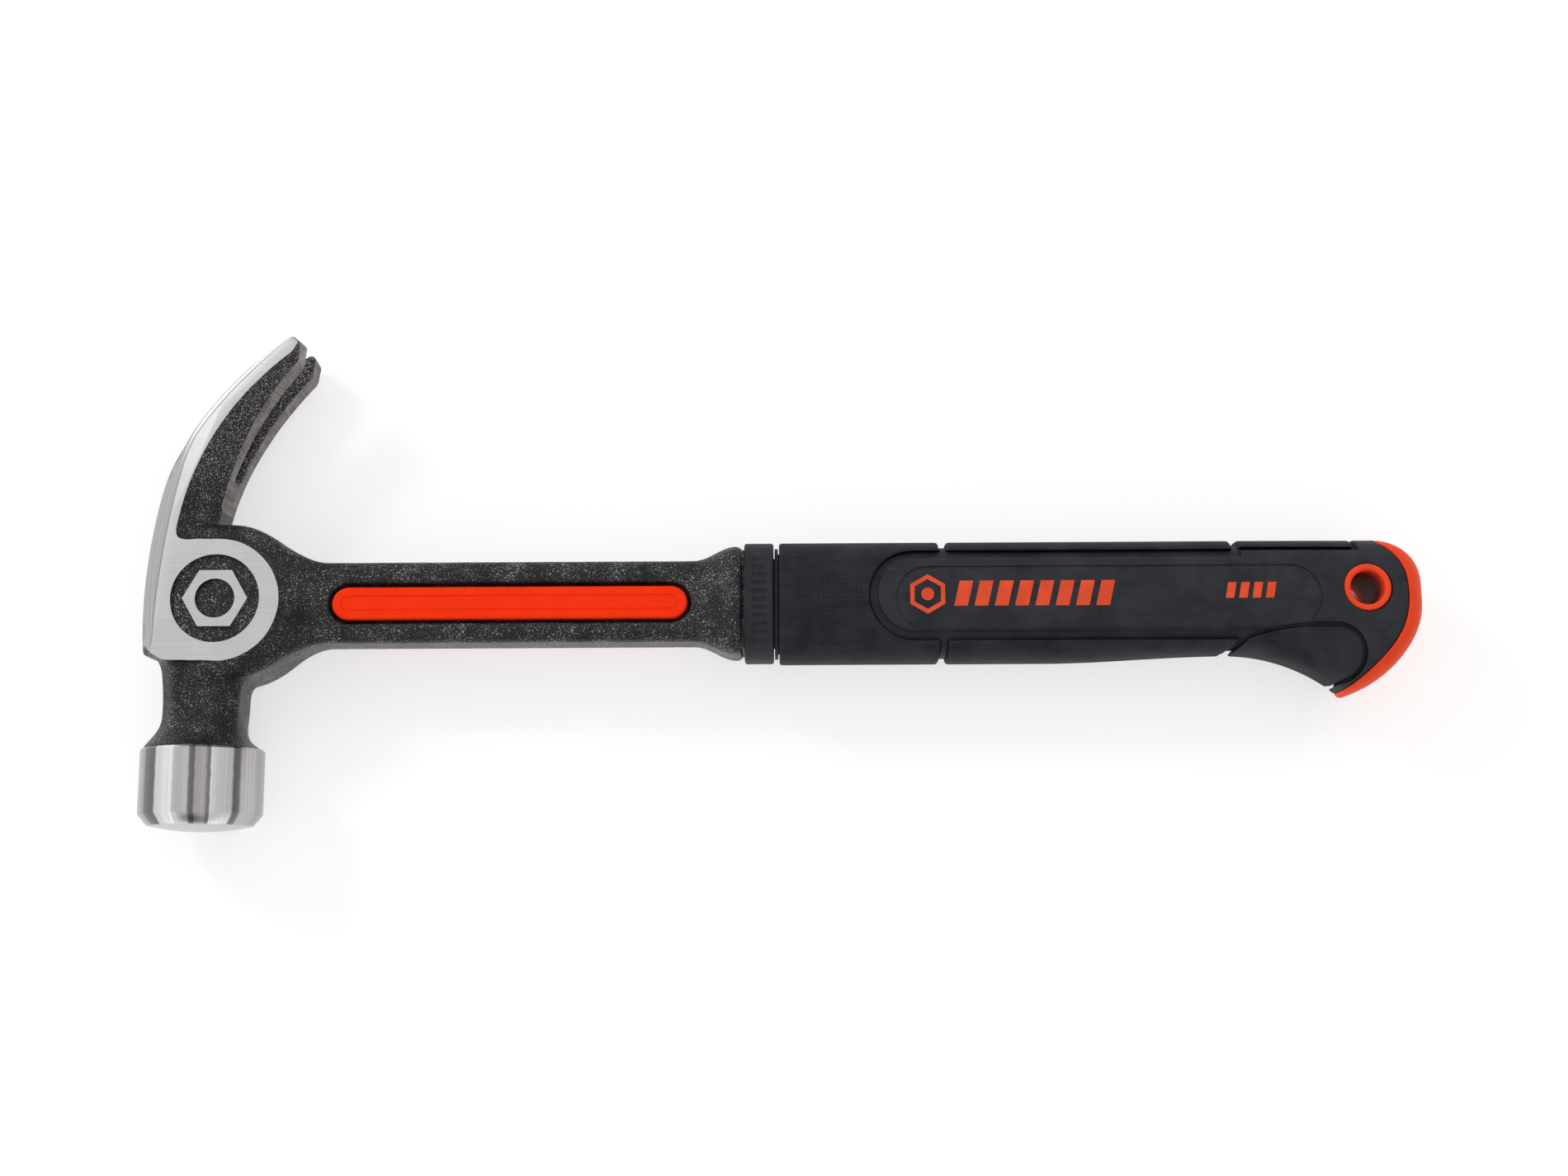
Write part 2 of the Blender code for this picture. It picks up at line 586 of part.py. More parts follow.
def make_grip_frame(material):
    """The hard core round the tang, with groove floors, side panels and lock posts."""
    frame = grip_envelope("grip_frame", GROOVE_DEPTH, COLLAR_X[1] + GAP)
    frame.data.materials.append(material)
    for name, outline in pad_regions(-GAP).items():
        combine(frame, make_pocket(name, outline, False), "DIFFERENCE")
    combine(frame, make_pocket("front_grip_sleeve", sleeve_region(-GAP), True), "DIFFERENCE")
    combine(frame, make_nose(), "UNION")
    combine(frame, make_side_panels(), "UNION")
    combine(frame, prism("cap_side", cap_region(-GAP), -FAR, FAR), "DIFFERENCE")
    hole = prism("bushing_hole", disc(HANG_HOLE, BUSHING_RADIUS + GAP), -FAR, FAR)
    combine(frame, hole, "DIFFERENCE")
    fit_round_tang(frame)
    return frame


def make_collar(material):
    """The ring between shoulder and sleeve."""
    outer = superellipse(*COLLAR_HALVES, SECTION_POWER)
    ring = loft("collar_ring", [[(x, a, b) for a, b in outer] for x in COLLAR_X], material)
    hollow = superellipse(NOSE_HALVES[0] + GAP, NOSE_HALVES[1] + GAP, SECTION_POWER)
    ends = (COLLAR_X[0] - MM, COLLAR_X[1] + MM)
    combine(ring, loft("collar_hollow", [[(x, a, b) for a, b in hollow] for x in ends]), "DIFFERENCE")
    return ring


def make_butt_cap(material):
    cap = grip_envelope("butt_cap", 0.0, SLEEVE_START_X)
    cap.data.materials.append(material)
    combine(cap, prism("cap_area", cap_region(0.0), -FAR, FAR), "INTERSECT")
    return cap


def make_bushing(material):
    """The orange tube that lines the hang hole."""
    half = BUTT_HALF_THICK - 0.4 * MM
    tube = prism("hang_hole_bushing", disc(HANG_HOLE, BUSHING_RADIUS), -half, half, material)
    combine(tube, prism("hang_hole", disc(HANG_HOLE, BORE_RADIUS), -FAR, FAR), "DIFFERENCE")
    return tube


def make_pads(material):
    pads = [make_pad(name, outline, False, material) for name, outline in pad_regions(0.0).items()]
    return pads + [make_pad("front_grip_sleeve", sleeve_region(0.0), True, material)]


def place_on_side(pieces):
    """Parents every piece to an empty that puts the bottom centre of the whole at the origin."""
    frame = bpy.data.objects.new("hammer_frame", None)
    bpy.context.scene.collection.objects.link(frame)
    claw_top = max(point[1] for point in claw_station(CLAW_TIP_ANGLE))
    frame.location = (
        -0.5 * (BUTT_END_X - BELL_RADIUS),
        -0.5 * (claw_top + BELL_FACE_Y),
        BELL_RADIUS,
    )
    for piece in pieces:
        piece.parent = frame


def main():
    clear_scene()
    steel = make_material("forged_steel", (0.30, 0.30, 0.31), 0.38, 1.0)
    orange = make_material("orange_plastic", (0.90, 0.07, 0.01), 0.42)
    hard = make_material("hard_black_nylon", (0.022, 0.024, 0.03), 0.55)
    soft = make_material("soft_black_rubber", (0.018, 0.02, 0.025), 0.75)
    make_forged_body(steel)
    make_inlay(1.0, orange)
    make_inlay(-1.0, orange)
    make_collar(hard)
    make_grip_frame(hard)
    make_pads(soft)
    make_butt_cap(orange)
    make_bushing(orange)
    place_on_side(list(bpy.data.objects))


main()
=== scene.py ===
"""Looks for the claw hammer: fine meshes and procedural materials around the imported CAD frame.

Shapes are worked out in millimetres in the hammer frame: X runs from the bell's axis to the butt, Y from the
handle's centre line towards the claws, and Z from the middle plane of the forging to its front side.
"""

import math

import bpy
import numpy as np
import openvdb
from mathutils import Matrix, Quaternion, Vector


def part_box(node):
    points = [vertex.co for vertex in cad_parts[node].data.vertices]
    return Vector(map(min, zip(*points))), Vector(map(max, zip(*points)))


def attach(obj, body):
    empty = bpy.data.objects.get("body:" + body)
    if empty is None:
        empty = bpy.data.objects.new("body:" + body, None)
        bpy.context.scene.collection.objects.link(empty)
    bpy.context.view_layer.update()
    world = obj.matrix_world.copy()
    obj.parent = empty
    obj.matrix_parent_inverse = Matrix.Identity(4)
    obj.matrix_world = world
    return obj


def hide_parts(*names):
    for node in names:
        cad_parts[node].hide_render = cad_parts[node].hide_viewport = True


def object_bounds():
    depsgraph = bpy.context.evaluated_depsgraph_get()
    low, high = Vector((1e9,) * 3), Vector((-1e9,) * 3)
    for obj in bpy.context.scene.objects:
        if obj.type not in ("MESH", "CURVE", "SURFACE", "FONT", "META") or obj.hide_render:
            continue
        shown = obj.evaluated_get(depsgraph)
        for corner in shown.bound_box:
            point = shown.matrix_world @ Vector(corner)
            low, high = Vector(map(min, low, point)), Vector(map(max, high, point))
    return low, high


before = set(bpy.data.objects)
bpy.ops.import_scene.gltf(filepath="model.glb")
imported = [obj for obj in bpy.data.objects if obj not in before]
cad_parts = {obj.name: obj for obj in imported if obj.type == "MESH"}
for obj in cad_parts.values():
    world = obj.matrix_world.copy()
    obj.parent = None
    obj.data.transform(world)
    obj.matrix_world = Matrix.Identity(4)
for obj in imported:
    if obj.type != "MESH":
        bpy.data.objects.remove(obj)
CAD_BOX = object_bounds()

MM = 0.001
VOXEL = 0.45
SKIN_STEP = 0.28
FAR = 40.0

# Head, in millimetres
SIDE_HALF = 14.2
GROUND_SPARE = 1.6
BELL_RADIUS = 16.1
BELL_EDGE = 0.5
BELL_RIM_Y = -38.6
BELL_CHAMFER_Y = -56.0
BELL_CHAMFER_END_Y = -58.7
BELL_FACE_Y = -60.3
BELL_CHAMFER_RADIUS = 13.8
NECK_HALF = 10.2
NECK_END_HALF = 15.6
NECK_FLARE_POWER = 2.7
NECK_SHIFT = 0.5
NECK_LEAN = 0.8
NECK_ROOT_GROW = 2.0
NECK_CHAMFER = 4.2
NECK_TOP_Y = -10.0
NECK_WAIST_Y = -28.0
CHEEK_CENTRE = (6.0, -0.3)
CHEEK_RADIUS = 15.9
CHEEK_LEFT = -10.8
CHEEK_CORNER = 4.0
CHEEK_LEAN = 4.0
CHEEK_GROW = 4.5
CHEEK_DRAFT = 5.0
EMBLEM_CENTRE = (5.3, 0.1)
EMBLEM_RADIUS = 11.7
EMBLEM_DEPTH = 0.8
NUT_RADIUS = 8.6
NUT_HOLE_RADIUS = 5.2

# Claws: circles in plan as (centre x, centre y, radius), met by rays from CLAW_HUB
CLAW_HUB = (67.5, 5.0)
CLAW_OUTER = (67.2, 2.8, 81.5)
CLAW_INNER = (67.8, 7.7, 74.5)
CLAW_UNDER = (91.3, 5.0, 89.6)
CHEEK_EDGE = (210.0, -12.0, 221.0)
CROWN = (109.7, -0.5, 125.0)
SIDE_BLEND = 1.6
CLAW_START_ANGLE = -13.5
CLAW_TIP_ANGLE = 56.6
TIP_TAPER_ANGLE = 2.4
TIP_SHARE = 0.35
TIP_STRIP_SHARE = 0.75
TIP_LEAD_ANGLE = 1.1
UNDER_HALF_ROOT = 6.0
UNDER_HALF_TIP = 12.0
CROWN_HALF = 9.0
SLOT_ROOT = (3.2, 36.0)
SLOT_TIP = (28.0, 78.0)
SLOT_REACH = 14.0
SLOT_ROOT_HALVES = (1.0, 3.4)
SLOT_TIP_HALVES = (4.0, 5.6)

# Facets cut from the claws; BEVEL_WIDTHS holds (angle, width) along their outer edge
BEVEL_WIDTHS = (
    (-14.0, 0.0), (-11.0, 0.5), (-3.0, 0.65), (5.0, 0.9), (18.0, 1.2), (38.0, 1.7), (46.0, 1.5),
    (52.0, 0.8), (58.0, 0.0),
)
BEVEL_OUTER_SHARE = 0.3
BEVEL_SLOPES = (0.26, 1.3)
BEVEL_REACH = 12.0
TIP_ROUND_ANGLE = 55.2
TIP_ROUND_RADIUS = 1.85
TIP_ROUND_SLOPE = 0.9
TIP_ROUND_REACH = 9.0
UNDERSIDE_ANGLES = (15.0, 59.0)
UNDERSIDE_DEPTH = 0.3
UNDERSIDE_REACH = 14.0

# Shank
SHANK_HALF_HEIGHT = 10.95
SHANK_HALF_THICK = 7.6
SHANK_EDGE = 2.2
SHANK_FLARE_X = (10.0, 33.0)
SHANK_FLARE_HEIGHT = 9.0
SHANK_FLARE_THICK = 4.4
SHOULDER_START_X = 131.0
SHOULDER_END_X = 144.0
SHOULDER_HALF_HEIGHT = 14.6
SHOULDER_HALF_THICK = 11.6
SPIGOT_STEP = 1.3
INLAY_X = (34.6, 129.2)
INLAY_Y = -0.4
INLAY_HALF = 4.4
INLAY_FLOOR_Z = 5.2
INLAY_TOP_Z = 7.3
INLAY_EDGE = 0.7
INLAY_LINE_DEPTH = 0.28
RECESS_MARGIN = 0.9
RECESS_FLOOR_Z = 4.9

# Grip
COLLAR_X = (144.4, 152.2)
COLLAR_HALVES = (16.0, 12.4)
NOSE_HALVES = (12.0, 8.6)
GAP = 0.3
SLEEVE_START_X = 153.7
GRIP_TOP_Y = 16.0
GRIP_BOTTOM_Y = -16.3
GRIP_WAIST_Y = -14.5
GRIP_HALF_THICK = 12.8
BUTT_HALF_THICK = 13.4
SWELL_X = (225.0, 274.0)
HOOK_ARC = (274.0, -61.8, 47.3)
HOOK_END_X = 302.0
CAP_TOP_ARC = (312.8, 3.2, 12.8)
CAP_LOW_ARC = (294.8, 4.4, 31.9)
CAP_LOW_START_X = 304.4
CAP_START_X = 295.0
CAP_LINE_ENDS_X = (313.7, 301.0)
BUTT_END_X = 325.5
BUTT_ROUND = 9.0
BUTT_ROUND_POWER = 2.6
BUTT_SWELL_X = (250.0, 310.0)
SECTION_POWER = 3.0
GROOVE_DEPTH = 1.5
PAD_DEPTH = 2.6
PAD_EDGE = 0.7
PANEL_EDGE = 0.5
GROOVE_HALF = 1.1
REAR_GROOVE = 0.9
PANEL_TRIM = 0.2
PANEL_Y = 0.55
PANEL_LEFT_X = 178.6
PANEL_HALF = 11.05
NOTCH_FRONT_X = 197.3
NOTCH_REAR_X = 275.2
TOP_REAR_END_X = 306.6
TOP_REAR_LINE_Y = 13.2
LOW_NOTCH = (274.7, -13.3)
LOW_NOTCH_SLANT = 1.1
HOOK_PAD_CORNER_Y = -11.4
HOOK_PAD_RISE = (296.0, -71.1, 62.5)
HOOK_PAD_CURL = (300.1, -15.7, 7.05)
HOOK_PAD_TIP = (299.4, -23.6)
HOOK_PAD_END_X = 298.6
LABEL_X = (184.4, 296.8)
LABEL_Y = -0.5
LABEL_HALF = 8.5
LABEL_DEPTH = 0.4
HANG_HOLE = (308.9, 1.6)
BUSHING_RADIUS = 6.3
BORE_RADIUS = 4.5
BUSHING_LIP = 0.8
BUSHING_OUTER_LIP = 0.48

# The cap's front edge as (centre, radius, first angle, last angle, steps)
CAP_LINE_ARCS = (
    ((303.9, 1.6), 15.9, 52.0, 12.0, 20),
    ((295.9, 0.2), 23.9, 6.0, -24.0, 16),
    ((268.9, 24.0), 59.6, -38.0, -58.0, 16),
)

# Dotted thumb patch, and the collar's ribs
KNURL_X = (163.0, 177.4)
KNURL_Y = (-8.4, 6.0)
KNURL_PITCH = 1.25
KNURL_HEIGHT = 0.25
RIB_X = (146.6, 150.6)
RIB_MIDDLE_Y = -0.65
RIB_PITCH = 2.2
RIB_HALF = 0.55
RIB_ROW_HALF = 12.2
RIB_DEPTH = 0.35

# Printed marks; each row of slanted bars is (first x, pitch, width, count, low y, high y, slant)
ICON_CENTRE = (192.9, 0.5)
ICON_RADII = (5.3, 4.0, 1.7)
PRINTED_ROWS = ((199.8, 5.35, 3.6, 8, -2.7, 4.0, 1.6), (271.4, 3.5, 2.2, 4, -1.0, 3.2, 0.8))
PRINT_X = (184.0, 292.0)

# Colours
SCALE_BLACK = (0.006, 0.006, 0.0068)
SCALE_GREY = (0.017, 0.0165, 0.0175)
GLINT_FLECK_STEEL = (0.52, 0.515, 0.53)
RUST = (0.11, 0.035, 0.012)
GROUND_DARK = (0.5, 0.5, 0.49)
GROUND_LIGHT = (0.72, 0.72, 0.71)
BEVEL_DARK = (0.27, 0.265, 0.265)
BEVEL_LIGHT = (0.42, 0.41, 0.41)
UNDERSIDE_DARK = (0.1, 0.085, 0.08)
UNDERSIDE_LIGHT = (0.25, 0.22, 0.21)
BELL_MIDDLE = (0.38, 0.365, 0.36)
BELL_LIGHT = (0.92, 0.92, 0.91)
SOFT_BLACK = ((0.008, 0.0092, 0.0125), (0.026, 0.0275, 0.033))
HARD_BLACK = ((0.0125, 0.014, 0.0195), (0.03, 0.032, 0.039))
INLAY_ORANGE = ((0.95, 0.03, 0.001), (1.0, 0.037, 0.001))
CAP_ORANGE = ((0.8, 0.055, 0.011), (0.88, 0.068, 0.014))
INK_ORANGE = ((0.68, 0.07, 0.025), (0.82, 0.095, 0.035))
RING_ORANGE = (0.86, 0.06, 0.013)
# Painted shade deep inside the hang hole's bore, in two tones
BORE_SHADE_DARK = (0.16, 0.004, 0.001)
BORE_SHADE_LIGHT = (0.3, 0.008, 0.002)
FLOOR_GREY = (0.5, 0.5, 0.5)
FLOOR_SHADE = (0.06, 0.05, 0.05)

# Between these heights the claws' skin is greyer, with more bright flecks (painted glints) and rare rust
# freckles
CLAW_FLECKED_Y = (18.0, 34.0)

# Painted reflections: greys round half of the bell that stand in for the studio's bands mirrored in it, from
# the grip's side (0) to the far side (1)
BELL_PAINTED_REFLECTIONS = (
    (0.0, 0.5), (0.08, 0.5), (0.1, 0.58), (0.2, 0.6), (0.214, 0.25), (0.244, 0.22), (0.255, 0.7),
    (0.28, 0.85), (0.365, 0.95), (0.373, 0.3), (0.386, 0.28), (0.395, 0.5), (0.445, 0.48),
    (0.452, 0.2), (0.475, 0.25), (0.485, 0.72), (0.56, 0.78), (0.575, 0.98), (0.6, 0.85),
    (0.67, 0.68), (0.68, 0.2), (0.75, 0.24), (0.78, 0.5), (1.0, 0.6),
)

# Studio. STUDIO_ARCH is its brightness from the hammer's left (0) over the top (0.5) to its right (1)
FLOOR_HALF = 3.0
FLOOR_GLOW = 0.6
STUDIO_ARCH = (
    (0.0, 0.85), (0.27, 0.8), (0.3, 0.35), (0.34, 0.38), (0.37, 0.62), (0.47, 0.62), (0.5, 0.85),
    (0.65, 0.8), (0.73, 0.4), (0.8, 0.45), (1.0, 0.6),
)
STUDIO_STRENGTH = 1.2
STAND_DIRECTION = (-0.15, -0.93, 0.3)
STAND_SHADE = 0.12
CAMERA_TARGET = (155.0, 4.4, 0.0)
CAMERA_DISTANCE = 0.5446
CAMERA_TIP = 9.7
CAMERA_ROLL = 0.3
CAMERA_LENS = 46.29


def hammer_origin():
    """Where the hammer frame's origin stands in the row frame, in millimetres."""
    low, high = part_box("forged_body")
    return np.array([low.x / MM + BELL_RADIUS, low.y / MM - BELL_FACE_Y, 0.5 * (low.z + high.z) / MM])


ORIGIN = hammer_origin()


# ---------------------------------------------------------------- meshes


def loft_parts(rings):
    """Points, quads and cap triangles of a closed solid through rings of equal point count."""
    rings = np.asarray(rings, float)
    levels, count = rings.shape[:2]
    index = np.arange(levels * count).reshape(levels, count)
    after = np.roll(index, -1, axis=1)
    quads = np.stack([index[:-1], after[:-1], after[1:], index[1:]], axis=-1).reshape(-1, 4)
    centres = rings[[0, -1]].mean(axis=1)
    first, last = levels * count, levels * count + 1
    start_cap = np.stack([np.full(count, first), after[0], index[0]], axis=-1)
    end_cap = np.stack([np.full(count, last), index[-1], after[-1]], axis=-1)
    points = np.concatenate([rings.reshape(-1, 3), centres])
    return points, quads, np.concatenate([start_cap, end_cap])


def facing_out(points, quads, triangles):
    """The same faces, turned round if they face inwards."""
    corners = np.concatenate([quads[:, [0, 1, 2]], quads[:, [0, 2, 3]], triangles])
    first, second, third = (points[corners[:, side]] for side in range(3))
    if np.einsum("ij,ij->i", first, np.cross(second, third)).sum() < 0.0:
        return quads[:, ::-1], triangles[:, ::-1]
    return quads, triangles


def add_mesh(name, points, faces, material=None):
    """A mesh object in the row frame, from points in hammer millimetres."""
    mesh = bpy.data.meshes.new(name)
    mesh.from_pydata(((points + ORIGIN) * MM).tolist(), [], faces)
    mesh.validate()
    if material:
        mesh.materials.append(material)
    piece = bpy.data.objects.new(name, mesh)
    bpy.context.scene.collection.objects.link(piece)
    return piece


def make_piece(name, parts, material=None):
    points, quads, triangles = parts
    quads, triangles = facing_out(points, quads, triangles)
    return add_mesh(name, points, quads.tolist() + triangles.tolist(), material)


def loft(name, rings, material=None):
    return make_piece(name, loft_parts(rings), material)


def prism(name, outline, low, high, material=None):
    """A solid between two heights with flat ends, from an outline of (x, y) points in either order."""
    outline = [tuple(point) for point in outline]
    if sum(a[0] * b[1] - b[0] * a[1] for a, b in zip(outline, outline[1:] + outline[:1])) < 0.0:
        outline.reverse()
    count = len(outline)
    points = np.array([(x, y, z) for z in (low, high) for x, y in outline])
    faces = [list(range(count - 1, -1, -1)), list(range(count, 2 * count))]
    faces += [[i, (i + 1) % count, count + (i + 1) % count, count + i] for i in range(count)]
    return add_mesh(name, points, faces, material)


def combine(piece, other, operation):
    """Applies a Boolean with the other object and removes it. New faces keep the other's material."""
    modifier = piece.modifiers.new("combine", "BOOLEAN")
    modifier.operation = operation
    modifier.solver = "MANIFOLD"
    modifier.material_mode = "TRANSFER"
    modifier.object = other
    graph = bpy.context.evaluated_depsgraph_get()
    evaluated = piece.evaluated_get(graph)
    mesh = bpy.data.meshes.new_from_object(evaluated, preserve_all_data_layers=True, depsgraph=graph)
    if not mesh.polygons:
        raise ValueError(f"{piece.name}: the Boolean with {other.name} left nothing")
    piece.modifiers.clear()
    piece.data = mesh
    bpy.data.objects.remove(other, do_unlink=True)


def shade(piece, angle=32.0):
    piece.data.shade_smooth()
    piece.data.set_sharp_from_angle(angle=math.radians(angle))


def arc(centre, radius, start, end, steps):
    """Points on a circle from start to end, in degrees."""
    angles = np.radians(np.linspace(start, end, steps + 1))
    return [(centre[0] + radius * math.cos(a), centre[1] + radius * math.sin(a)) for a in angles]


def disc(centre, radius, steps=96):
    return arc(centre, radius, 0.0, 360.0 * (steps - 1) / steps, steps - 1)


def stadium(span, middle, half, steps=32):
    """A slot with round ends, from span[0] to span[1] along X."""
    right = arc((span[1] - half, middle), half, -90.0, 90.0, steps)
    left = arc((span[0] + half, middle), half, 90.0, 270.0, steps)
    return right + left


def smoothstep(value):
    value = np.clip(value, 0.0, 1.0)
    return value * value * (3.0 - 2.0 * value)


def mix(first, second, share):
    return first + (second - first) * share


# ---------------------------------------------------------------- forging


def ray_to_circle(angle, circle):
    """How far a ray from CLAW_HUB, angle degrees above -X, runs to a circle."""
    direction = ray_direction(angle)
    start = np.array(CLAW_HUB) - np.array(circle[:2])
    along = start @ direction
    return -along + math.sqrt(along * along - start @ start + circle[2] ** 2)


def ray_direction(angle):
    return np.array([-math.cos(math.radians(angle)), math.sin(math.radians(angle))])


def ray_point(angle, reach):
    return np.array(CLAW_HUB) + ray_direction(angle) * reach


def claw_corners(angle):
    """Plan points of one cross-section of crown and claws: crown, ground edge, inner edge, underside."""
    outer = ray_to_circle(angle, CLAW_OUTER)
    cheek = ray_to_circle(angle, CHEEK_EDGE)
    overlap = max(SIDE_BLEND - abs(outer - cheek), 0.0) / SIDE_BLEND
    side = min(outer, cheek) - 0.25 * SIDE_BLEND * overlap ** 2
    tip = smoothstep((angle - CLAW_TIP_ANGLE + TIP_TAPER_ANGLE) / TIP_TAPER_ANGLE)
    middle_angle = angle + TIP_LEAD_ANGLE * tip
    middle = ray_to_circle(middle_angle, CLAW_OUTER)
    crown = mix(ray_to_circle(middle_angle, CROWN), middle, smoothstep((angle - 15.0) / 23.0))
    inner = mix(outer, ray_to_circle(angle, CLAW_INNER), mix(1.0, TIP_STRIP_SHARE, tip))
    under = mix(middle, ray_to_circle(middle_angle, CLAW_UNDER), mix(1.0, TIP_SHARE, tip))
    turns = (middle_angle, angle, angle, middle_angle)
    return tuple(ray_point(*place) for place in zip(turns, (crown, side, inner, under)))


def under_half_width(angle):
    rise = smoothstep((angle - 12.0) / (CLAW_TIP_ANGLE - 12.0))
    return mix(UNDER_HALF_ROOT, UNDER_HALF_TIP, rise)


def claw_rings():
    """Claw sections that run on a little past the ground planes, which are cut afterwards."""
    high = SIDE_HALF + GROUND_SPARE
    rings = []
    for angle in np.linspace(CLAW_START_ANGLE, CLAW_TIP_ANGLE, 150):
        crown, side, inner, under = claw_corners(angle)
        half = [(crown, CROWN_HALF), (side, SIDE_HALF), (side, high), (inner, high), (inner, SIDE_HALF)]
        half.append((under, under_half_width(angle)))
        ring = [(*point, height) for point, height in half]
        rings.append(ring + [(x, y, -z) for x, y, z in reversed(ring)])
    return rings


def nail_slot_rings():
    root, tip = np.array(SLOT_ROOT), np.array(SLOT_TIP)
    along = (tip - root) / np.linalg.norm(tip - root)
    across = np.array([-along[1], along[0]]) * SLOT_REACH
    rings = []
    for point, (outer, under) in ((root, SLOT_ROOT_HALVES), (tip, SLOT_TIP_HALVES)):
        low, high = point - across, point + across
        rings.append([(*low, -under), (*high, -outer), (*high, outer), (*low, under)])
    return rings


def cheek_outline(grow):
    radius = CHEEK_RADIUS + grow
    low = CHEEK_CENTRE[1] - CHEEK_RADIUS
    high = CHEEK_CENTRE[1] + radius
    round_side = arc(CHEEK_CENTRE, radius, -90.0, 90.0, 64)
    low_corner = arc((CHEEK_LEFT + CHEEK_CORNER, low + CHEEK_CORNER), CHEEK_CORNER, 180.0, 270.0, 12)
    return round_side + [(CHEEK_LEFT + CHEEK_LEAN, high)] + low_corner


def cheek_rings():
    inside = SIDE_HALF - CHEEK_DRAFT
    high = SIDE_HALF + GROUND_SPARE
    upper = [(inside, CHEEK_GROW), (SIDE_HALF, 0.0), (high, 0.0)]
    levels = [(-z, grow) for z, grow in reversed(upper)] + upper
    return [[(x, y, z) for x, y in cheek_outline(grow)] for z, grow in levels]


def neck_rings():
    """A chamfered square column that turns round as it flares out to the bell."""
    turns = np.radians(np.arange(0.0, 360.0, 3.0))
    cosine, sine = np.abs(np.cos(turns)), np.abs(np.sin(turns))
    rings = []
    for y in np.linspace(NECK_TOP_Y, BELL_RIM_Y - 1.0, 40):
        flare = min(max(0.0, (NECK_WAIST_Y - y) / (NECK_WAIST_Y - BELL_RIM_Y)), 1.0)
        root = max(0.0, (y - NECK_WAIST_Y) / (NECK_TOP_Y - NECK_WAIST_Y))
        half = mix(NECK_HALF, NECK_END_HALF, flare ** NECK_FLARE_POWER) + NECK_ROOT_GROW * root ** 2
        lean = NECK_SHIFT * (1.0 - flare) - NECK_LEAN * math.sin(math.pi * flare ** 3)
        flat = half / np.maximum(cosine, sine)
        chamfer = (2.0 * half - NECK_CHAMFER) / (cosine + sine)
        radius = mix(np.minimum(flat, chamfer), half, smoothstep(flare))
        x, z = lean + radius * np.cos(turns), radius * np.sin(turns)
        rings.append(np.stack([x, np.full_like(turns, y), z], axis=-1))
    return rings


def shank_halves(x):
    """Half height and half thickness of the shank, flared into the head and into the shoulder."""
    head = 1.0 - smoothstep((x - SHANK_FLARE_X[0]) / (SHANK_FLARE_X[1] - SHANK_FLARE_X[0]))
    shoulder = smoothstep((x - SHOULDER_START_X) / (SHOULDER_END_X - 2.0 - SHOULDER_START_X))
    height = mix(SHANK_HALF_HEIGHT, SHOULDER_HALF_HEIGHT, shoulder) + SHANK_FLARE_HEIGHT * head
    thick = mix(SHANK_HALF_THICK, SHOULDER_HALF_THICK, shoulder) + SHANK_FLARE_THICK * head
    return height, thick


def round_rectangle(half_a, half_b, radius, steps=8):
    """Corner by corner round a rectangle with rounded corners."""
    points = []
    for quarter, (sign_a, sign_b) in enumerate(((1, 1), (-1, 1), (-1, -1), (1, -1))):
        centre = (sign_a * (half_a - radius), sign_b * (half_b - radius))
        points += arc(centre, radius, 90.0 * quarter, 90.0 * quarter + 90.0, steps)
    return points


def shank_rings():
    rings = []
    for x in np.linspace(0.0, SHOULDER_END_X, 145):
        height, thick = shank_halves(x)
        over = max(0.0, x - SHOULDER_END_X + 1.4) / 1.2
        edge = SHANK_EDGE + 3.0 * smoothstep((x - SHOULDER_START_X) / 10.0)
        trim = 0.7 * min(over, 1.0) ** 2
        rings.append([(x, a, b) for a, b in round_rectangle(height - trim, thick - trim, edge)])
    return rings


class ForgingField:
    """Signed distances in millimetres on one grid of voxels round the black forged skin."""

    LOW = np.array([-24.0, -48.0, -20.0])
    HIGH = np.array([150.0, 82.0, 20.0])
    BAND = 5.0

    def __init__(self):
        self.first = np.floor(self.LOW / VOXEL).astype(int)
        self.shape = tuple(np.ceil(self.HIGH / VOXEL).astype(int) - self.first + 1)
        axes = [(np.arange(size) + start) * VOXEL for size, start in zip(self.shape, self.first)]
        self.x, self.y, self.z = np.meshgrid(*axes, indexing="ij", sparse=True)

    def distance(self, rings):
        points, quads, triangles = loft_parts(rings)
        grid = openvdb.FloatGrid.createLevelSetFromPolygons(
            points.astype(np.float32),
            triangles=triangles.astype(np.uint32),
            quads=quads.astype(np.uint32),
            transform=openvdb.createLinearTransform(VOXEL),
            halfWidth=self.BAND / VOXEL,
        )
        field = np.empty(self.shape, np.float32)
        grid.copyToArray(field, ijk=tuple(int(value) for value in self.first))
        return field

    def surface(self, field):
        grid = openvdb.FloatGrid()
        grid.copyFromArray(field.astype(np.float32), ijk=tuple(int(value) for value in self.first))
        grid.transform = openvdb.createLinearTransform(VOXEL)
        points, triangles, quads = grid.convertToPolygons(isovalue=0.0, adaptivity=0.0)
        return points.astype(float), quads.astype(int), triangles.astype(int).reshape(-1, 3)


def blend_union(first, second, radius):
    """The union of two distance fields with a fillet where they meet."""
    overlap = np.maximum(radius - np.abs(first - second), 0.0) / radius
    return np.minimum(first, second) - 0.25 * radius * overlap * overlap


def blend_cut(field, cutter, radius):
    return -blend_union(-field, cutter, radius)


def soften(field, passes):
    """Rounds the edges of a distance field a little."""
    for _ in range(passes):
        for axis in range(3):
            before = np.roll(field, 1, axis)
            after = np.roll(field, -1, axis)
            field = 0.25 * (before + after) + 0.5 * field
    return field


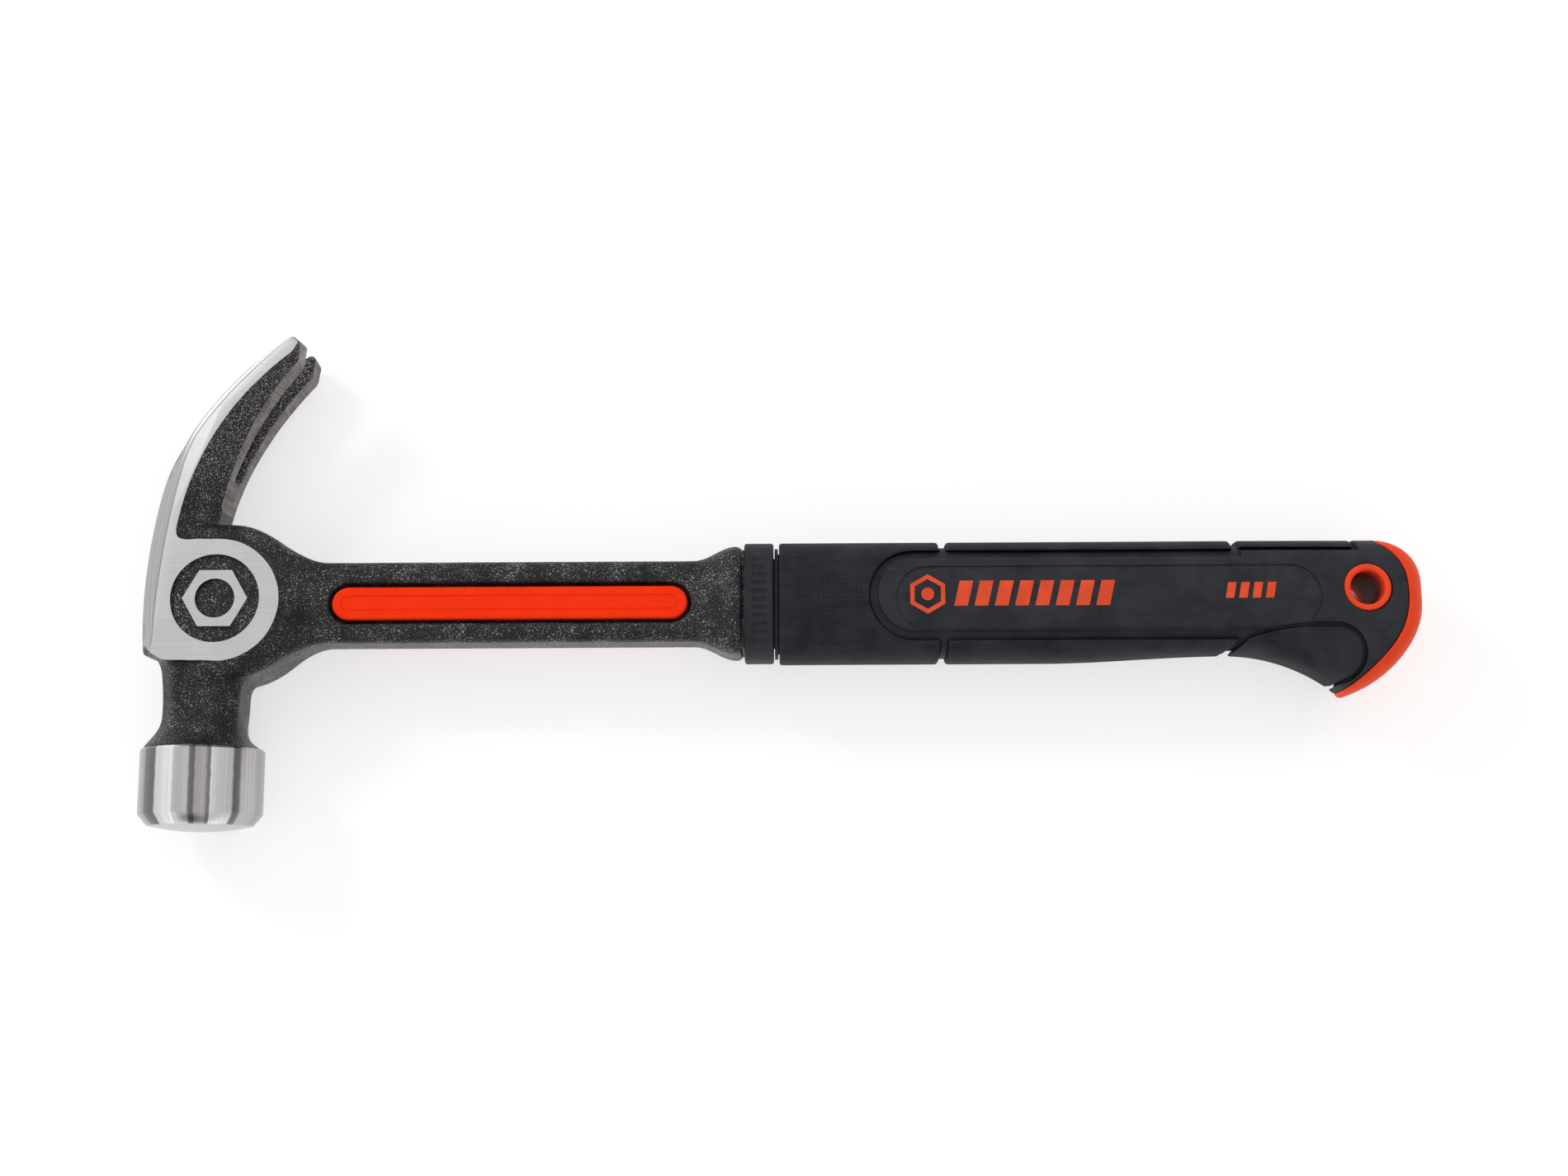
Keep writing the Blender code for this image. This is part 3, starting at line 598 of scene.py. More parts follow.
def hammered(x, y, z):
    """Slow unevenness of a forged skin, in millimetres."""
    broad = np.sin(0.31 * x + 1.3) * np.sin(0.37 * y + 0.4) * np.cos(0.29 * z + 0.2)
    close = np.sin(0.83 * x - 0.35 * y + 0.7) * np.sin(0.71 * y + 0.42 * z) * np.cos(0.9 * z - 0.3 * x)
    return 0.035 * broad + 0.03 * close


def inlay_recess_field(grid):
    half = INLAY_HALF + RECESS_MARGIN
    low, high = INLAY_X[0] - RECESS_MARGIN + half, INLAY_X[1] + RECESS_MARGIN - half
    nearest = np.clip(grid.x, low, high)
    around = np.sqrt((grid.x - nearest) ** 2 + (grid.y - INLAY_Y) ** 2) - half
    return np.maximum(around, RECESS_FLOOR_Z - np.abs(grid.z))


def make_forged_skin(material):
    grid = ForgingField()
    field = blend_union(grid.distance(shank_rings()), grid.distance(cheek_rings()), 3.0)
    field = blend_union(field, grid.distance(claw_rings()), 2.4)
    field = blend_union(field, grid.distance(neck_rings()), 3.0)
    field = blend_cut(field, grid.distance(nail_slot_rings()), 0.8)
    field = blend_cut(field, inlay_recess_field(grid), 0.5)
    field = soften(field, 3) + hammered(grid.x, grid.y, grid.z)
    return make_piece("forged_head_and_shank", grid.surface(field), material)


def bevel_rings(side):
    """A cutter that follows the claws' outer edge and takes two facets off it: a flat one and a steep one."""
    rings = []
    for angle in np.linspace(BEVEL_WIDTHS[0][0], BEVEL_WIDTHS[-1][0], 180):
        edge = claw_corners(angle)[1]
        outward = ray_direction(angle)
        width = float(np.interp(angle, *zip(*BEVEL_WIDTHS))) - 0.02
        outer = BEVEL_OUTER_SHARE * width
        inner_slope, outer_slope = BEVEL_SLOPES
        turn_z = SIDE_HALF - (width - outer) * inner_slope
        section = [
            (-width - 1.0, SIDE_HALF + inner_slope),
            (-outer, turn_z),
            (BEVEL_REACH, turn_z - (BEVEL_REACH + outer) * outer_slope),
            (BEVEL_REACH, SIDE_HALF + 8.0),
            (-width - 1.0, SIDE_HALF + 8.0),
        ]
        rings.append([(*(edge + outward * out), side * z) for out, z in section])
    return rings


def tip_round_rings(side):
    """A cutter that rounds the end of the ground strip and leaves a black facet round it."""
    along = np.array([math.sin(math.radians(TIP_ROUND_ANGLE)), math.cos(math.radians(TIP_ROUND_ANGLE))])
    outward = ray_direction(TIP_ROUND_ANGLE)
    centre = claw_corners(TIP_ROUND_ANGLE)[1] - outward * TIP_ROUND_RADIUS
    rings = []
    for drop in (-1.5, 3.0):
        radius = TIP_ROUND_RADIUS + drop * TIP_ROUND_SLOPE
        section = arc((0.0, 0.0), radius, 90.0, -90.0, 24)
        section += [(0.0, -TIP_ROUND_REACH), (TIP_ROUND_REACH, -TIP_ROUND_REACH)]
        section += [(TIP_ROUND_REACH, TIP_ROUND_REACH), (0.0, TIP_ROUND_REACH)]
        plan = [centre + along * u + outward * v for u, v in section]
        rings.append([(x, y, side * (SIDE_HALF - drop)) for x, y in plan])
    return rings


def underside_rings():
    """A cutter on the claws' hollow side, which grinds the underside and the tips' end facets."""
    rings = []
    for angle in np.linspace(*UNDERSIDE_ANGLES, 120):
        crown, _, _, under = claw_corners(angle)
        outward = crown - np.array(CLAW_HUB)
        outward /= np.linalg.norm(outward)
        started = smoothstep((angle - UNDERSIDE_ANGLES[0]) / 4.0)
        near = under + outward * mix(-1.0, UNDERSIDE_DEPTH, started)
        far = under - outward * mix(2.0, UNDERSIDE_REACH, started)
        rings.append([(*near, -FAR), (*near, FAR), (*far, FAR), (*far, -FAR)])
    return rings


def spigot_rings():
    """A step behind the shoulder that closes the joint with the collar."""
    height, thick = SHOULDER_HALF_HEIGHT - SPIGOT_STEP, SHOULDER_HALF_THICK - SPIGOT_STEP
    section = round_rectangle(height, thick, SHANK_EDGE)
    return [[(x, a, b) for a, b in section] for x in (SHOULDER_END_X - 0.8, COLLAR_X[0] - 0.02)]


def bell_rings():
    """The turned bell, from its back rim to the middle of the slightly crowned face."""
    crown_y, crown_radius = BELL_CHAMFER_END_Y - 0.12, BELL_CHAMFER_RADIUS - 0.3
    profile = [
        (BELL_RIM_Y, 0.2),
        (BELL_RIM_Y, BELL_RADIUS - BELL_EDGE),
        (BELL_RIM_Y - BELL_EDGE, BELL_RADIUS),
        (BELL_CHAMFER_Y + BELL_EDGE, BELL_RADIUS),
        (BELL_CHAMFER_Y, BELL_RADIUS - 0.12),
        (BELL_CHAMFER_END_Y + 0.3, BELL_CHAMFER_RADIUS + 0.25),
        (crown_y, crown_radius),
    ]
    for share in np.linspace(0.94, 0.02, 14):
        profile.append((BELL_FACE_Y + (crown_y - BELL_FACE_Y) * share ** 2, crown_radius * share))
    turns = np.radians(np.arange(0.0, 360.0, 2.0))
    return [[(radius * math.cos(a), y, radius * math.sin(a)) for a in turns] for y, radius in profile]


def hexagon(centre, radius, turn=0.0):
    return arc(centre, radius, turn, turn + 300.0, 5)


def add_emblem(body, side, skin, steel):
    """A sunk black disc with a generic raised hexagon nut in it."""
    low, high = sorted((side * (SIDE_HALF - EMBLEM_DEPTH), side * FAR))
    combine(body, prism("recess", disc(EMBLEM_CENTRE, EMBLEM_RADIUS), low, high, skin), "DIFFERENCE")
    low, high = sorted((side * (SIDE_HALF - EMBLEM_DEPTH - 1.0), side * (SIDE_HALF - 0.02)))
    ring = prism("nut", hexagon(EMBLEM_CENTRE, NUT_RADIUS), low, high, steel)
    combine(ring, prism("nut_hole", disc(EMBLEM_CENTRE, NUT_HOLE_RADIUS), -FAR, FAR, skin), "DIFFERENCE")
    combine(body, ring, "UNION")


def make_forging(materials):
    body = make_forged_skin(materials["skin"])
    head = [(-100.0, NECK_WAIST_Y), (160.0, NECK_WAIST_Y), (160.0, 120.0), (-100.0, 120.0)]
    for side in (1.0, -1.0):
        low, high = sorted((side * SIDE_HALF, side * FAR))
        combine(body, prism("ground", head, low, high, materials["ground"]), "DIFFERENCE")
        combine(body, loft("bevel", bevel_rings(side), materials["bevel"]), "DIFFERENCE")
        combine(body, loft("tip_round", tip_round_rings(side), materials["skin"]), "DIFFERENCE")
    combine(body, loft("underside", underside_rings(), materials["underside"]), "DIFFERENCE")
    combine(body, loft("spigot", spigot_rings(), materials["skin"]), "UNION")
    combine(body, loft("bell", bell_rings(), materials["bell"]), "UNION")
    for side in (1.0, -1.0):
        add_emblem(body, side, materials["skin"], materials["ground"])
    shade(body)
    return body


def make_inlay(name, side, material):
    """An orange strip with a rounded edge and a fine inner line."""
    edge_z, line_z = INLAY_TOP_Z - INLAY_EDGE, INLAY_TOP_Z - INLAY_LINE_DEPTH
    levels = [(INLAY_FLOOR_Z, 0.0), (edge_z, 0.0)]
    for turn in np.radians((20.0, 40.0, 60.0, 80.0, 90.0)):
        levels.append((edge_z + INLAY_EDGE * math.sin(turn), INLAY_EDGE * (1.0 - math.cos(turn))))
    levels += [(INLAY_TOP_Z, 2.25), (line_z, 2.45), (line_z, 2.7), (INLAY_TOP_Z - 0.08, 2.85)]
    rings = []
    for z, inset in levels:
        outline = stadium((INLAY_X[0] + inset, INLAY_X[1] - inset), INLAY_Y, INLAY_HALF - inset)
        rings.append([(x, y, side * z) for x, y in outline])
    piece = loft(name, rings, material)
    shade(piece)
    return piece


# ---------------------------------------------------------------- grip


def grip_top(x):
    inside = np.maximum(CAP_TOP_ARC[2] ** 2 - (x - CAP_TOP_ARC[0]) ** 2, 0.0)
    return np.where(x < CAP_TOP_ARC[0], GRIP_TOP_Y, CAP_TOP_ARC[1] + np.sqrt(inside))


def grip_bottom(x):
    """The grip's lower edge: a slight swell, the hook for the little finger, and the cap's round."""
    swell = mix(GRIP_BOTTOM_Y, GRIP_WAIST_Y, smoothstep((x - SWELL_X[0]) / (SWELL_X[1] - SWELL_X[0])))

    def from_circle(at, circle, sign):
        return circle[1] + sign * np.sqrt(np.maximum(circle[2] ** 2 - (at - circle[0]) ** 2, 0.0))

    share = (x - HOOK_END_X) / (CAP_LOW_START_X - HOOK_END_X)
    hook_end = from_circle(HOOK_END_X, HOOK_ARC, 1.0)
    cap_start = from_circle(CAP_LOW_START_X, CAP_LOW_ARC, -1.0)
    behind = np.where(x < CAP_LOW_START_X, mix(hook_end, cap_start, share), from_circle(x, CAP_LOW_ARC, -1.0))
    return np.where(x < SWELL_X[1], swell, np.where(x < HOOK_END_X, from_circle(x, HOOK_ARC, 1.0), behind))


def grip_half_thick(x):
    swell = smoothstep((x - BUTT_SWELL_X[0]) / (BUTT_SWELL_X[1] - BUTT_SWELL_X[0]))
    over = np.clip((x - BUTT_END_X + BUTT_ROUND) / (BUTT_ROUND + 0.02), 0.0, 1.0)
    rounding = (1.0 - over ** BUTT_ROUND_POWER) ** (1.0 / BUTT_ROUND_POWER)
    return mix(GRIP_HALF_THICK, BUTT_HALF_THICK, swell) * rounding


def grip_stations(start, end):
    """Even steps along X, closer together in the last millimetres of the butt."""
    body_end = min(end, BUTT_END_X - BUTT_ROUND)
    steps = max(2, int((body_end - start) / SKIN_STEP))
    stations = np.linspace(start, body_end, steps + 1)
    if end > body_end:
        turns = np.linspace(0.0, 0.5 * math.pi, int(14.0 / SKIN_STEP))[1:]
        stations = np.concatenate([stations, body_end + (end - body_end) * np.sin(turns)])
    return stations


def section_radius(half_a, half_b, turns):
    """Distance from the middle to a superellipse in each direction."""
    a = np.abs(np.cos(turns)) / half_a
    b = np.abs(np.sin(turns)) / half_b
    return (a ** SECTION_POWER + b ** SECTION_POWER) ** (-1.0 / SECTION_POWER)


def skin_points(stations, high, low, thick, depth):
    """A fine skin round superellipse sections, sunk by depth(x, y, z) along its own normals."""
    count = int(96.0 / SKIN_STEP)
    turns = 2.0 * math.pi * (np.arange(count) + 0.5) / count
    middle = 0.5 * (high + low)[:, None]
    radius = section_radius(0.5 * (high - low)[:, None], thick[:, None], turns[None, :])
    x = np.repeat(stations[:, None], count, axis=1)
    axis_points = np.stack([x, np.broadcast_to(middle, x.shape), 0.0 * x], axis=-1)
    points = np.stack([x, middle + radius * np.cos(turns), radius * np.sin(turns)], axis=-1)
    around = np.roll(points, -1, axis=1) - np.roll(points, 1, axis=1)
    along = np.gradient(points, axis=0)
    normals = np.cross(around, along)
    normals /= np.maximum(np.linalg.norm(normals, axis=-1, keepdims=True), 1e-9)
    outward = (normals * (points - axis_points)).sum(axis=-1)
    normals *= np.where(outward < 0.0, -1.0, 1.0)[..., None]
    sunk = depth(points[..., 0], points[..., 1], points[..., 2])
    return points - normals * sunk[..., None]


def grip_skin(name, start, end, depth, material=None):
    stations = grip_stations(start, end)
    high, low = grip_top(stations), grip_bottom(stations)
    return loft(name, skin_points(stations, high, low, grip_half_thick(stations), depth), material)


def even_depth(value):
    return lambda x, y, z: np.full_like(x, value)


def inside_distance(outline, x, y):
    """Distance from points to the outline in plan, above zero inside it."""
    corners = np.array(outline, float)
    ends = np.roll(corners, -1, axis=0)
    nearest = np.full(x.shape, 1e9)
    inside = np.zeros(x.shape, bool)
    for (ax, ay), (bx, by) in zip(corners, ends):
        dx, dy = bx - ax, by - ay
        length = dx * dx + dy * dy
        if length == 0.0:
            continue
        share = np.clip(((x - ax) * dx + (y - ay) * dy) / length, 0.0, 1.0)
        nearest = np.minimum(nearest, (x - ax - share * dx) ** 2 + (y - ay - share * dy) ** 2)
        crosses = (ay > y) != (by > y)
        if dy != 0.0:
            inside ^= crosses & (x < dx * (y - ay) / dy + ax)
    return np.where(inside, 1.0, -1.0) * np.sqrt(nearest)


def rounded_edge(distance, radius):
    """How far a surface drops near an edge that is rounded with that radius."""
    short = np.clip(radius - distance, 0.0, radius)
    return radius - np.sqrt(np.maximum(radius ** 2 - short ** 2, 0.0))


def low_notch_x(y):
    """Middle of the slanted notch in front of the hook pad, at height y in plan."""
    return LOW_NOTCH[0] + LOW_NOTCH_SLANT * (y - LOW_NOTCH[1])


def panel_outline(grow):
    half = PANEL_HALF + grow
    start = PANEL_LEFT_X - grow + half
    rear = NOTCH_REAR_X + GROOVE_HALF
    low, high = PANEL_Y - half, PANEL_Y + half
    notch = [(low_notch_x(y) + GROOVE_HALF, y) for y in (low, -FAR)]
    butt = [(BUTT_END_X + FAR, -FAR), (BUTT_END_X + FAR, FAR), (rear, FAR), (rear, high)]
    return arc((start, PANEL_Y), half, 90.0, 270.0, 64) + notch + butt


def hook_pad_outline(shrink):
    """The little-finger pad in plan: a slowly rising upper edge, and a curl round the hook's tip."""
    corner_y = HOOK_PAD_CORNER_Y - shrink
    notch = [(low_notch_x(y) + GROOVE_HALF + shrink, y) for y in (-FAR, corner_y)]
    upper = arc(HOOK_PAD_RISE[:2], HOOK_PAD_RISE[2] - shrink, 105.0, 88.0, 16)
    curl = arc(HOOK_PAD_CURL[:2], HOOK_PAD_CURL[2] - shrink, 84.0, -65.0, 32)
    tip = [(HOOK_PAD_TIP[0] - shrink, HOOK_PAD_TIP[1]), (HOOK_PAD_END_X - shrink, -FAR)]
    return notch + upper + curl + tip


def pad_outlines(shrink):
    low = PANEL_Y - PANEL_HALF - GROOVE_HALF - shrink
    high = PANEL_Y + PANEL_HALF + GROOVE_HALF + shrink
    front = NOTCH_FRONT_X + GROOVE_HALF + shrink
    middle = NOTCH_REAR_X - GROOVE_HALF - shrink
    rear = NOTCH_REAR_X + GROOVE_HALF + shrink
    top_rear_end = TOP_REAR_END_X - shrink
    line = TOP_REAR_LINE_Y + shrink
    notch = [(low_notch_x(y) - GROOVE_HALF - shrink, y) for y in (-FAR, low)]
    return {
        "top_front_pad": [(front, high), (middle, high), (middle, FAR), (front, FAR)],
        "bottom_front_pad": [(front, -FAR)] + notch + [(front, low)],
        "top_rear_pad": [(rear, line), (top_rear_end, line), (top_rear_end, FAR), (rear, FAR)],
        "bottom_rear_pad": hook_pad_outline(shrink),
    }


def sleeve_outline(shrink):
    end = NOTCH_FRONT_X - GROOVE_HALF - shrink
    start = SLEEVE_START_X + shrink
    return [(start, -FAR), (end, -FAR), (end, FAR), (start, FAR)]


def cap_outline(shift):
    line = [(CAP_LINE_ENDS_X[0], FAR)]
    for values in CAP_LINE_ARCS:
        line += arc(*values)
    line.append((CAP_LINE_ENDS_X[1], -FAR))
    return [(x + shift, y) for x, y in line] + [(BUTT_END_X + FAR, -FAR), (BUTT_END_X + FAR, FAR)]


def knurl(x, y):
    """Height of the dotted thumb patch: rows of small domes that die away at the patch's edge."""
    domes = np.cos(math.pi * (x + y) / KNURL_PITCH) * np.cos(math.pi * (x - y) / KNURL_PITCH)
    margin = np.minimum.reduce([x - KNURL_X[0], KNURL_X[1] - x, y - KNURL_Y[0], KNURL_Y[1] - y])
    return KNURL_HEIGHT * np.clip(domes, -0.2, 1.0) * smoothstep(margin / 0.8)


def make_soft_piece(name, outline, material, cut_panel=False, relief=None):
    """One soft pad: a rounded shell of the grip, cut to its outline and hollow inside."""

    def depth(x, y, z):
        inside = inside_distance(outline, x, y)
        if cut_panel:
            inside = np.minimum(inside, -inside_distance(panel_outline(GROOVE_HALF), x, y))
        sunk = rounded_edge(inside, PAD_EDGE)
        return sunk - relief(x, y) if relief else sunk

    xs = [x for x, _ in outline]
    start, end = min(xs) - 1.5, min(max(xs) + 1.5, BUTT_END_X)
    piece = grip_skin(name, start, end, depth, material)
    combine(piece, prism("region", outline, -FAR, FAR, material), "INTERSECT")
    if cut_panel:
        combine(piece, prism("panel", panel_outline(GROOVE_HALF), -FAR, FAR, material), "DIFFERENCE")
    inner_end = min(end + 1.0, BUTT_END_X - 2.0)
    combine(piece, grip_skin("inner", start - 1.0, inner_end, even_depth(PAD_DEPTH), material), "DIFFERENCE")
    shade(piece)
    return piece


def frame_depth(x, y, z):
    """The raised side panels have rounded edges."""
    raised = inside_distance(panel_outline(-GROOVE_HALF), x, y)
    rear = pad_outlines(-REAR_GROOVE)
    for name in ("top_rear_pad", "bottom_rear_pad"):
        raised = np.minimum(raised, -inside_distance(rear[name], x, y))
    return rounded_edge(np.minimum(raised, -inside_distance(cap_outline(-0.2), x, y)), PANEL_EDGE)


def sunk_shell(name, outline, depth, material):
    """The part of the grip's skin inside an outline, down to a depth; it cuts a flat-floored recess."""
    shell = prism(name, outline, -FAR, FAR, material)
    floor = grip_skin("floor", COLLAR_X[0], BUTT_END_X - 0.5 * depth, even_depth(depth), material)
    combine(shell, floor, "DIFFERENCE")
    return shell


def cut_frame_grooves(piece, material):
    """Cuts the groove round the panels, clear of the raised panels themselves, and the shallow label."""
    groove = [(COLLAR_X[0], -FAR), (BUTT_END_X + FAR, -FAR), (BUTT_END_X + FAR, FAR), (COLLAR_X[0], FAR)]
    groove = sunk_shell("groove", groove, GROOVE_DEPTH, material)
    panel = prism("panel", panel_outline(-GROOVE_HALF - PANEL_TRIM), -2.0 * FAR, 2.0 * FAR, material)
    rear = pad_outlines(-REAR_GROOVE - PANEL_TRIM)
    for outline in (rear["top_rear_pad"], rear["bottom_rear_pad"], cap_outline(-0.2)):
        combine(panel, prism("beside", outline, -3.0 * FAR, 3.0 * FAR, material), "DIFFERENCE")
    combine(groove, panel, "DIFFERENCE")
    combine(piece, groove, "DIFFERENCE")
    label = stadium(LABEL_X, LABEL_Y, LABEL_HALF)
    combine(piece, sunk_shell("label", label, LABEL_DEPTH, material), "DIFFERENCE")


def make_pocket(outline, cut_panel, material):
    """The space that a soft pad fills, a little larger than the pad."""
    pocket = prism("pocket", outline, -FAR, FAR, material)
    if cut_panel:
        panel = prism("panel", panel_outline(GROOVE_HALF - GAP), -FAR, FAR, material)
        combine(pocket, panel, "DIFFERENCE")
    depth = even_depth(PAD_DEPTH + GAP)
    floor = grip_skin("floor", SLEEVE_START_X - 5.0, BUTT_END_X - 1.0, depth, material)
    combine(pocket, floor, "DIFFERENCE")
    return pocket


def nose_loft(name, grow, start, end, material):
    """The grip core's nose, which runs through the collar."""
    turns = 2.0 * math.pi * (np.arange(160) + 0.5) / 160
    radius = section_radius(NOSE_HALVES[0] + grow, NOSE_HALVES[1] + grow, turns)
    y, z = radius * np.cos(turns), radius * np.sin(turns)
    rings = [np.stack([np.full_like(turns, x), y, z], axis=-1) for x in (start, end)]
    return loft(name, rings, material)


def make_frame(material):
    piece = grip_skin("grip_core", COLLAR_X[1] + GAP, BUTT_END_X, frame_depth, material)
    for outline in pad_outlines(-GAP).values():
        combine(piece, make_pocket(outline, False, material), "DIFFERENCE")
    combine(piece, make_pocket(sleeve_outline(-GAP), True, material), "DIFFERENCE")
    cut_frame_grooves(piece, material)
    combine(piece, nose_loft("nose", 0.0, COLLAR_X[0], SLEEVE_START_X + 4.0, material), "UNION")
    combine(piece, prism("cap_side", cap_outline(-GAP), -FAR, FAR, material), "DIFFERENCE")
    hole = disc(HANG_HOLE, BUSHING_RADIUS + 0.2)
    combine(piece, prism("bushing_hole", hole, -FAR, FAR, material), "DIFFERENCE")
    shade(piece)
    return piece


def make_cap(material):
    outline = cap_outline(0.0)

    def depth(x, y, z):
        return rounded_edge(inside_distance(outline, x, y), PANEL_EDGE)

    piece = grip_skin("butt_cap_band", CAP_START_X, BUTT_END_X, depth, material)
    combine(piece, prism("area", outline, -FAR, FAR, material), "INTERSECT")
    shade(piece)
    return piece


def collar_depth(x, y, z):
    """Rounded ends and a column of small sunk ribs on both sides."""
    ends = rounded_edge(np.minimum(x - COLLAR_X[0], COLLAR_X[1] - x), 0.6)
    from_middle = y - RIB_MIDDLE_Y
    from_rib = np.abs((from_middle + 0.5 * RIB_PITCH) % RIB_PITCH - 0.5 * RIB_PITCH)
    row_end = RIB_ROW_HALF - np.abs(from_middle)
    inside = np.minimum.reduce([x - RIB_X[0], RIB_X[1] - x, RIB_HALF - from_rib, row_end])
    return ends + RIB_DEPTH * smoothstep(inside / 0.3)


def make_collar(material):
    stations = np.linspace(*COLLAR_X, max(8, int((COLLAR_X[1] - COLLAR_X[0]) / (0.6 * SKIN_STEP))))
    height, thick = (half * np.ones_like(stations) for half in COLLAR_HALVES)
    piece = loft("grip_collar", skin_points(stations, height, -height, thick, collar_depth), material)
    combine(piece, nose_loft("hole", GAP, COLLAR_X[0] - 2.0, COLLAR_X[1] + 2.0, material), "DIFFERENCE")
    shade(piece)
    return piece


def turned_ring(name, profile, centre, material, steps=128):
    """A closed ring: its profile of (radius, height) points, turned about an axis along Z."""
    turns = 2.0 * math.pi * np.arange(steps) / steps
    x = centre[0] + np.outer(profile[:, 0], np.cos(turns))
    y = centre[1] + np.outer(profile[:, 0], np.sin(turns))
    points = np.stack([x, y, np.broadcast_to(profile[:, 1:], x.shape)], axis=-1).reshape(-1, 3)
    index = np.arange(x.size).reshape(x.shape)
    below = np.roll(index, -1, axis=0)
    quads = np.stack([index, np.roll(index, -1, axis=1), np.roll(below, -1, axis=1), below], axis=-1)
    return make_piece(name, (points, quads.reshape(-1, 4), np.empty((0, 3), int)), material)


def make_bushing(material):
    """A tube whose outer and inner edges are rounded at both ends."""
    base = BUTT_HALF_THICK - 0.1 - BUSHING_LIP
    outer = np.linspace(0.5 * math.pi, 0.0, 5)
    inner = np.linspace(0.0, 0.5 * math.pi, 6)
    upper = [(BUSHING_RADIUS + BUSHING_OUTER_LIP * (math.sin(t) - 1.0), t) for t in outer]
    upper += [(BORE_RADIUS + BUSHING_LIP * (1.0 - math.sin(t)), t) for t in inner]
    upper = [(radius, base + BUSHING_LIP * math.cos(t)) for radius, t in upper]
    profile = upper + [(radius, -z) for radius, z in reversed(upper)]
    piece = turned_ring("hang_hole_ring", np.array(profile), HANG_HOLE, material)
    shade(piece, 50.0)
    return piece


def slanted_bars(start, pitch, width, count, low, high, slant):
    lefts = [start + pitch * step for step in range(count)]
    return [[(x, low), (x + width, low), (x + width + slant, high), (x + slant, high)] for x in lefts]


def make_print(name, side, material):
    """Generic printed marks: a hexagon round a dot, and two rows of slanted bars, on the label's floor."""
    low, high = sorted((side * 5.0, side * FAR))
    outer, inner, dot = ICON_RADII
    marks = prism("icon", hexagon(ICON_CENTRE, outer, 30.0), low, high, material)
    combine(marks, prism("icon_hole", hexagon(ICON_CENTRE, inner, 30.0), -FAR, FAR, material), "DIFFERENCE")
    for outline in [disc(ICON_CENTRE, dot, 48)] + [bar for row in PRINTED_ROWS for bar in slanted_bars(*row)]:
        combine(marks, prism("mark", outline, low, high, material), "UNION")
    skin = grip_skin(name, *PRINT_X, even_depth(LABEL_DEPTH - 0.07), material)
    under = grip_skin("under", PRINT_X[0] - 1.0, PRINT_X[1] + 1.0, even_depth(LABEL_DEPTH + 0.25), material)
    combine(skin, under, "DIFFERENCE")
    combine(skin, marks, "INTERSECT")
    shade(skin)
    return skin


# ---------------------------------------------------------------- materials


def add_node(tree, kind, inputs=None, **settings):
    """A shader node; an input given as (node, output) is linked, and any other value is set."""
    node = tree.nodes.new(kind)
    for name, value in settings.items():
        setattr(node, name, value)
    for name, value in (inputs or {}).items():
        socket = node.inputs[name]
        if is_link(value):
            tree.links.new(value[0].outputs[value[1]], socket)
        else:
            socket.default_value = value
    return node


def is_link(value):
    return isinstance(value, tuple) and isinstance(value[0], bpy.types.Node)


def new_material(name):
    material = bpy.data.materials.new(name)
    material.use_nodes = True
    material.node_tree.nodes.clear()
    return material, material.node_tree


def finish_material(material, inputs):
    """Ends the material's nodes with a Principled shader, and returns the material."""
    tree = material.node_tree
    shader = add_node(tree, "ShaderNodeBsdfPrincipled", inputs)
    add_node(tree, "ShaderNodeOutputMaterial", {"Surface": (shader, 0)})
    return material


# The helpers below return a link: the new node and its output's name.


def hammer_coordinates(tree, scale=(1.0, 1.0, 1.0)):
    """Position in hammer millimetres, scaled axis by axis."""
    place = add_node(tree, "ShaderNodeTexCoord")
    location = tuple(-ORIGIN[axis] * scale[axis] for axis in range(3))
    size = tuple(scale[axis] / MM for axis in range(3))
    inputs = {"Vector": (place, "Object"), "Location": location, "Scale": size}
    return add_node(tree, "ShaderNodeMapping", inputs), "Vector"


def part_of(tree, vector, axis):
    return add_node(tree, "ShaderNodeSeparateXYZ", {"Vector": vector}), axis


def noise(tree, vector, scale, detail=2.0, roughness=0.5, distortion=0.0):
    inputs = {"Vector": vector, "Scale": scale, "Detail": detail, "Roughness": roughness}
    inputs["Distortion"] = distortion
    return add_node(tree, "ShaderNodeTexNoise", inputs), "Fac"


def line_noise(tree, value, scale):
    """Noise along one value."""
    inputs = {"W": value, "Scale": scale, "Detail": 3.0}
    return add_node(tree, "ShaderNodeTexNoise", inputs, noise_dimensions="1D"), "Fac"


def ramp(tree, source, stops):
    """A colour ramp; stops are (position, grey or colour)."""
    node = add_node(tree, "ShaderNodeValToRGB", {"Fac": source})
    elements = node.color_ramp.elements
    elements[0].position = stops[0][0]
    elements[1].position = stops[-1][0]
    for position, _ in stops[1:-1]:
        elements.new(position)
    for element, (_, value) in zip(elements, stops):
        colour = value if isinstance(value, tuple) else (value, value, value)
        element.color = (*colour, 1.0)
    return node, "Color"


def maths(tree, operation, *values):
    return add_node(tree, "ShaderNodeMath", dict(enumerate(values)), operation=operation), "Value"


def vector_maths(tree, operation, *values):
    output = "Value" if operation in ("LENGTH", "DISTANCE") else "Vector"
    return add_node(tree, "ShaderNodeVectorMath", dict(enumerate(values)), operation=operation), output


def map_range(tree, value, low, high, to_low=0.0):
    """A value's place between low and high, from to_low to 1."""
    inputs = {"Value": value, "From Min": low, "From Max": high, "To Min": to_low}
    return add_node(tree, "ShaderNodeMapRange", inputs), "Result"


def mix_colour(tree, share, first, second):
    first, second = (value if is_link(value) else (*value, 1.0) for value in (first, second))
    return add_node(tree, "ShaderNodeMix", {0: share, 6: first, 7: second}, data_type="RGBA"), 2


